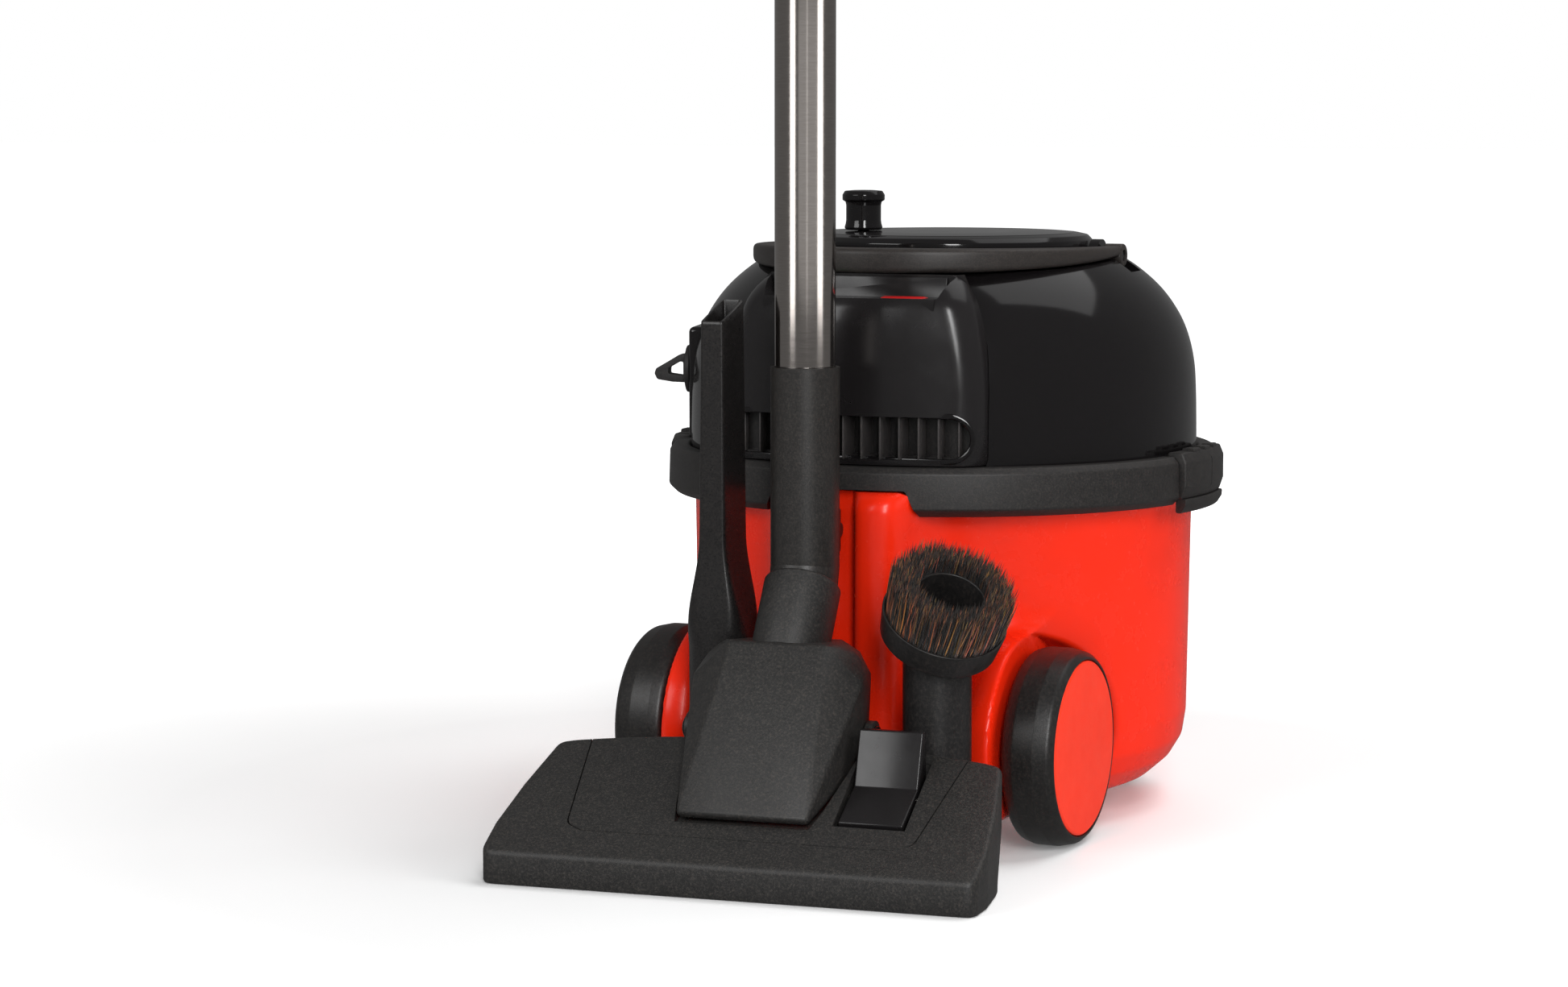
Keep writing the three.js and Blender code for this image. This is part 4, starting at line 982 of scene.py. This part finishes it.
HOOD_POINTS = mirror_x([(35, -97, 37.5), (34, -94, 34), (25.5, -40, 118), (46, -40, 99), (46, -36, 62),
                        (46, -24, 99), (40, -26, 111.5), (44.5, -26, 105.5), (44, -22, 62), (20, 8, 114),
                        (24, 4, 96), (42, -56, 50), (36, -24, 50)])


def hood_room():
    return hull([(x * 1.045, y * 1.015 - 0.6, z - 2.2 if z < 90 else z) for x, y, z in HOOD_POINTS])


def pivot_bore():
    """A bar to cut the holes that the two pivot screws turn in."""
    return across(-60, 60, (PIVOT_Y, PIVOT_Z), 3.6, 48)


def floor_tool():
    base = tool_outside()
    recess = common(cover_outline(-0.5), above_slope(4.3))
    roller = (ROLLER_Y, ROLLER_R)
    wheel_rooms = [across(side * 105, side * 117, roller, 8.5, 48) for side in BOTH]
    cut(base, recess, block((-103.3, -112.3, -5), (103.3, -62.7, 12)), block((-60, -75, 5), (60, -52, 30)),
        hood_room(), pedal_pocket(), *wheel_rooms)
    pins = [across(side * 104, side * 118, roller, 1.8, 24) for side in BOTH]
    finish(merged(base, *pins), "tool_base", CHARCOAL, "floor_tool", TOOL, ["floor_tool_base"])
    cover = common(tool_outside(), cover_outline(0.15), above_slope(4))
    cut(cover, hood_room(), pedal_pocket(), block((72, -36, 50), (81, -33, 80)))
    bosses = []
    for side in BOTH:
        inner, outer = side * 46.8, side * 51
        boss = across(inner, outer, (PIVOT_Y, PIVOT_Z), 8.5)
        web = block((inner, PIVOT_Y - 8, surface_z(-44) - 3), (outer, PIVOT_Y + 3, PIVOT_Z))
        bosses.append(bevel(join(boss, web), 0.7))
    ears = merged(*bosses)
    cut(ears, pivot_bore(), pedal_pocket())
    finish(merged(cover, ears), "tool_cover", CHARCOAL, "floor_tool", TOOL, ["floor_tool_cover"])
    screw = rounded([(0, 0), (3.3, 0), (3.3, 11), (6.2, 11), (5.8, 12.6), (3.6, 13.8), (0, 14)], 0.8, 4,
                    closed=False)
    wheel = rounded([(2.1, -5), (6.2, -5), (7, -3.6), (7, 3.6), (6.2, 5), (2.1, 5)], 0.7, 3)
    for side, name in SIDES:
        turn = TOOL @ move(side * 40, PIVOT_Y, PIVOT_Z) @ spin(side * 90, "Y")
        finish(turned(screw, 48), f"pivot_button_{name}", GLOSS_BLACK, "floor_tool", turn,
               [f"pivot_screw_{name}"])
        axle = TOOL @ move(side * ROLLER_X, ROLLER_Y, ROLLER_R) @ spin(90, "Y")
        body = f"floor_tool_wheel_{name}"
        finish(turned(wheel, 48, closed=True), f"tool_roller_{name}", RUBBER, body, axle, [body])
    plate = block((-103, -112, 3.2), (103, -63, 4.6))
    slots = [block((-96, a, 0), (96, b, 10)) for a, b in ((-93, -80), (-104, -98), (-75, -69))]
    cut(plate, *slots)
    finish(bevel(plate, 0.3, 2), "glide_plate", STEEL, "floor_tool", TOOL, ["sole_plate"])


def pedal():
    """Two pads that meet in a V over the hinge pin."""
    front, bend = surface_z(-90), surface_z(HINGE_Y)
    side = rounded([(-90, front + 0.8), (-63, bend + 0.3), (-53.5, 77.7), (-47.2, 77.2),
                    (-48.5, bend - 3), (-58, 42), (-66, 42), (-89, front - 3)], 1.2, 3)
    plate = bevel(prism(side, 49, 83, "X"), 1.3)
    cut(plate, across(40, 90, (HINGE_Y, HINGE_Z), 1.8, 32))
    finish(plate, "pedal_pad", PANEL_BLACK, "pedal", TOOL, ["pedal"])
    pin = across(47.3, 84.7, (HINGE_Y, HINGE_Z), 1.6, 32)
    finish(pin, "pedal_axle", STEEL, "floor_tool", TOOL, ["pedal_pin"])


def drop_strip():
    """Two rows of hair under the floor tool, held by cross bars that the pedal pushes down."""
    bars = [block((x - 3, STRIP_ROWS[0], 9.4), (x + 3, STRIP_ROWS[1], 11)) for x in (-90, 90)]
    backs = [block((-94, y - 2.3, 9.2), (94, y + 2.3, 11)) for y in STRIP_ROWS]
    finish(join(*backs, *bars), "strip_holder", SATIN_BLACK, "brush_strip", TOOL, ["brush_strip"])

    def hair():
        x, row = random.uniform(-93.5, 93.5), random.choice(STRIP_ROWS)
        y = row + random.uniform(-1.9, 1.9)
        tone = random.choices(HAIR_TONES, (50, 30, 15, 5))[0]
        return (x, y, 9.6), (x + random.uniform(-0.8, 0.8), y + random.uniform(-0.4, 0.4), 5.4), 0.22, tone
    strands(1200, hair, "strip_hair", "brush_strip", [], TOOL)


# ---- neck and wand ----
SWIVEL = move(0, WAND_Y, BEND_Z) @ spin(-NECK_LEAN, "X")


def neck():
    """A broad wedge with round shoulders and a short cuff round the wand's elbow."""
    shoulders = mirror_x([(33, -26, 116.2), (42.5, -26, 108.8), (46.2, -25, 102), (32, 2, 109),
                          (38, -6, 103)])
    hood = bevel(hull([*HOOD_POINTS, *shoulders]), 1.6, 4, 25)
    inside = hull([(x * 0.92, y * 0.95 - 1.4, z - 2.6 if z > 90 else z - 5) for x, y, z in HOOD_POINTS])
    cut(hood, inside)
    collar = rounded([(18.75, -6.7), (19.6, -6.3), (20.4, -7.6), (20.4, -50), (18.75, -50)], 0.5, 3)
    cut(hood, turned([(0, -54), (18.75, -54), (18.75, 30), (0, 30)], 96, frame=SWIVEL))
    hood = merged(hood, turned(collar, 96, closed=True, frame=SWIVEL))
    cut(hood, pivot_bore())
    finish(hood, "neck_shell", CHARCOAL, "neck", TOOL, ["neck_hood"], sharp=40)


def wand_holder():
    """The elbow in the neck, the sleeve above it and the hook that hangs in the dock slot."""
    down = SWIVEL.to_3x3() @ Vector((0, 0, -1))
    knee = Vector((0, WAND_Y, BEND_Z))
    path = [(0, WAND_Y, z) for z in (SLEEVE_TOP, SLEEVE_TOP - 1, 240, 200, 170)]
    path += [knee + Vector((0, 0, 1)) * (16 - 3 * k) for k in range(4)]
    path += [knee + Vector((0, 0, 4)).lerp(down * 4, k / 5) for k in range(6)]
    path += [knee + down * s for s in (8, 16, 26, 36)]
    sleeve = tubular(path, SLEEVE_R, 96, SLEEVE_BORE)
    cut(sleeve, rod((0, WAND_Y, TUBE_LOW - 0.4), (0, WAND_Y, 270), TUBE_R + 0.4, 96))
    hook_y = WAND_Y + SLEEVE_R + 17
    shank = bevel(block((-2, hook_y - 19, BEND_Z + 8), (9, hook_y, BEND_Z + 32)), 1.5, angle=30)
    bead = bevel(across(-2, 9, (hook_y, BEND_Z + 20), 4), 1, angle=30)
    holder = merged(sleeve, join(shank, bead))
    finish(holder, "elbow_sleeve", SLEEVE_BLACK, "wand_holder", TOOL, ["wand_elbow"])


def wand_tube():
    wall = box_section(TUBE_R - 1.1, TUBE_R, TUBE_LOW, TUBE_HIGH, 0.4, 2)
    steel = turned(wall, 128, closed=True, frame=move(0, WAND_Y, 0))
    finish(steel, "steel_tube", STEEL, "wand", TOOL, ["wand_tube"])


# ---- pieces inside that keep their CAD shape ----
INSIDE = {
    "rim_gasket": RUBBER, "bag_collar": BOARD_GREY, "dust_bag": PAPER, "filter_frame": SATIN_BLACK,
    "filter_cloth": CLOTH, "rear_axle": STEEL, "cord_lead": RUBBER, "motor_can": STEEL,
    "stator_winding": COPPER, "motor_plate": SATIN_BLACK, "control_board": BOARD,
    "reel_post": SATIN_BLACK, "motor_shaft": STEEL, "rotor": IRON, "fan_impeller": SATIN_BLACK,
    "reel_drum": SATIN_BLACK, "cord_winding": RUBBER,
}


def dress_inside():
    for name, material in INSIDE.items():
        mesh = frame["nodes"][name].data
        mesh.materials.clear()
        mesh.materials.append(material)


# ---- stage ----
def floor():
    bm = bmesh.new()
    bmesh.ops.create_grid(bm, x_segments=1, y_segments=1, size=30)
    mesh = bpy.data.meshes.new("floor_plane")
    bm.to_mesh(mesh)
    bm.free()
    plane = placed("floor_plane", mesh)
    material, tree, shader = new_material("floor_white")
    place = new_node(tree, "TexCoord", {})
    reach = new_node(tree, "VectorMath", {0: place.outputs["Object"]})
    reach.operation = "LENGTH"
    glow = new_node(tree, "MapRange", {"From Min": GLOW_START, "From Max": GLOW_END, "To Min": NEAR_GLOW,
                                       "To Max": FAR_GLOW, "Value": reach.outputs["Value"]})
    ray = new_node(tree, "LightPath", {})
    shown = new_node(tree, "Math", {0: glow.outputs["Result"], 1: ray.outputs["Is Camera Ray"]})
    shown.operation = "MULTIPLY"
    feed(shader, {"Base Color": greys(noise(tree, 3, 2), 0.84, 0.86), "Roughness": 0.9,
                  "Specular IOR Level": 0.1, "Emission Color": (1, 1, 1, 1),
                  "Emission Strength": shown.outputs["Value"]})
    mesh.materials.append(material)
    plane.visible_glossy = False


def softbox(name, place, target, width, height, power):
    data = bpy.data.lights.new(name, "AREA")
    data.shape = "RECTANGLE"
    data.size = width
    data.size_y = height
    data.energy = power
    lamp = placed(name, data)
    lamp.location = place
    lamp.rotation_euler = (Vector(target) - Vector(place)).to_track_quat("-Z", "Y").to_euler()
    return lamp


def around(azimuth, distance, height):
    """A place beside the object; azimuth 0 is the camera's side and grows towards its right."""
    turn = math.radians(CAMERA_AZIMUTH + azimuth)
    return Vector((distance * math.sin(turn), -distance * math.cos(turn), height))


def lights():
    """Soft boxes for the whole object, and narrow strips that only the polished tube mirrors."""
    middle = (0, -0.05, 0.18)
    tube = bpy.data.collections.new("tube_only")
    tube.objects.link(bpy.data.objects["steel_tube"])
    rest = bpy.data.collections.new("all_but_tube")
    rest.objects.link(bpy.data.objects["steel_tube"])
    rest.collection_objects[0].light_linking.link_state = "EXCLUDE"
    key = softbox("key_box", around(5, 2.6, 1.3), middle, 0.5, 1.7, 40)
    fill = softbox("fill_box", around(-50, 2.6, 1.5), middle, 1.4, 1.2, 20)
    top = softbox("top_box", around(120, 1.1, 2.3), (0, 0, 0.2), 1.8, 1.5, 36)
    top.visible_glossy = False
    sheen = softbox("sheen_box", around(120, 1.1, 2.31), (0, 0, 0.2), 1.8, 1.5, 7)
    side = softbox("side_box", around(66, 2.6, 1.2), middle, 1.4, 1.4, 22)
    side.visible_glossy = False
    for lamp in (key, fill, sheen):
        lamp.light_linking.receiver_collection = rest
    for name, azimuth, width, power in (("left_strip", -47, 0.42, 2.7), ("middle_strip", 4, 0.06, 0.09),
                                        ("right_strip", 54, 0.5, 3.1), ("wide_strip", 10, 1.9, 1.2)):
        strip = softbox(name, around(azimuth, 1.3, 0.32), around(azimuth, 0, 0.32), width, 0.56, power)
        strip.light_linking.receiver_collection = tube


def surroundings():
    world = bpy.data.worlds.new("studio")
    bpy.context.scene.world = world
    world.use_nodes = True
    tree = world.node_tree
    back = tree.nodes["Background"]
    feed(back, {"Color": (1, 1, 1, 1), "Strength": WORLD_FILL})
    seen = new_node(tree, "Background", {"Color": (1, 1, 1, 1), "Strength": 1.0})
    path = new_node(tree, "LightPath", {})
    mix = new_node(tree, "MixShader", {"Fac": path.outputs["Is Camera Ray"],
                                       1: back.outputs["Background"], 2: seen.outputs["Background"]})
    feed(tree.nodes["World Output"], {"Surface": mix.outputs["Shader"]})


def camera():
    data = bpy.data.cameras.new("view")
    data.sensor_width = 36
    data.lens = LENS
    data.clip_end = 50
    eye = placed("view", data)
    turn, pitch = math.radians(CAMERA_AZIMUTH), math.radians(CAMERA_PITCH)
    forward = Vector((-math.sin(turn) * math.cos(pitch), math.cos(turn) * math.cos(pitch), -math.sin(pitch)))
    eye.location = WORLD @ Vector(CAMERA_AT)
    eye.rotation_euler = forward.to_track_quat("-Z", "Y").to_euler()
    bpy.context.scene.camera = eye


for build in (tub, bumper_ring, latches, inlet, wheels, castors, dome, rear_panel, vent_grille,
              switches, carry_handle, winder, cord_outlet, caddy, crevice_tool, dusting_brush,
              floor_tool, pedal, drop_strip, neck, wand_holder, wand_tube, dress_inside, floor, lights,
              surroundings, camera):
    build()
bpy.context.scene.view_settings.view_transform = "Standard"
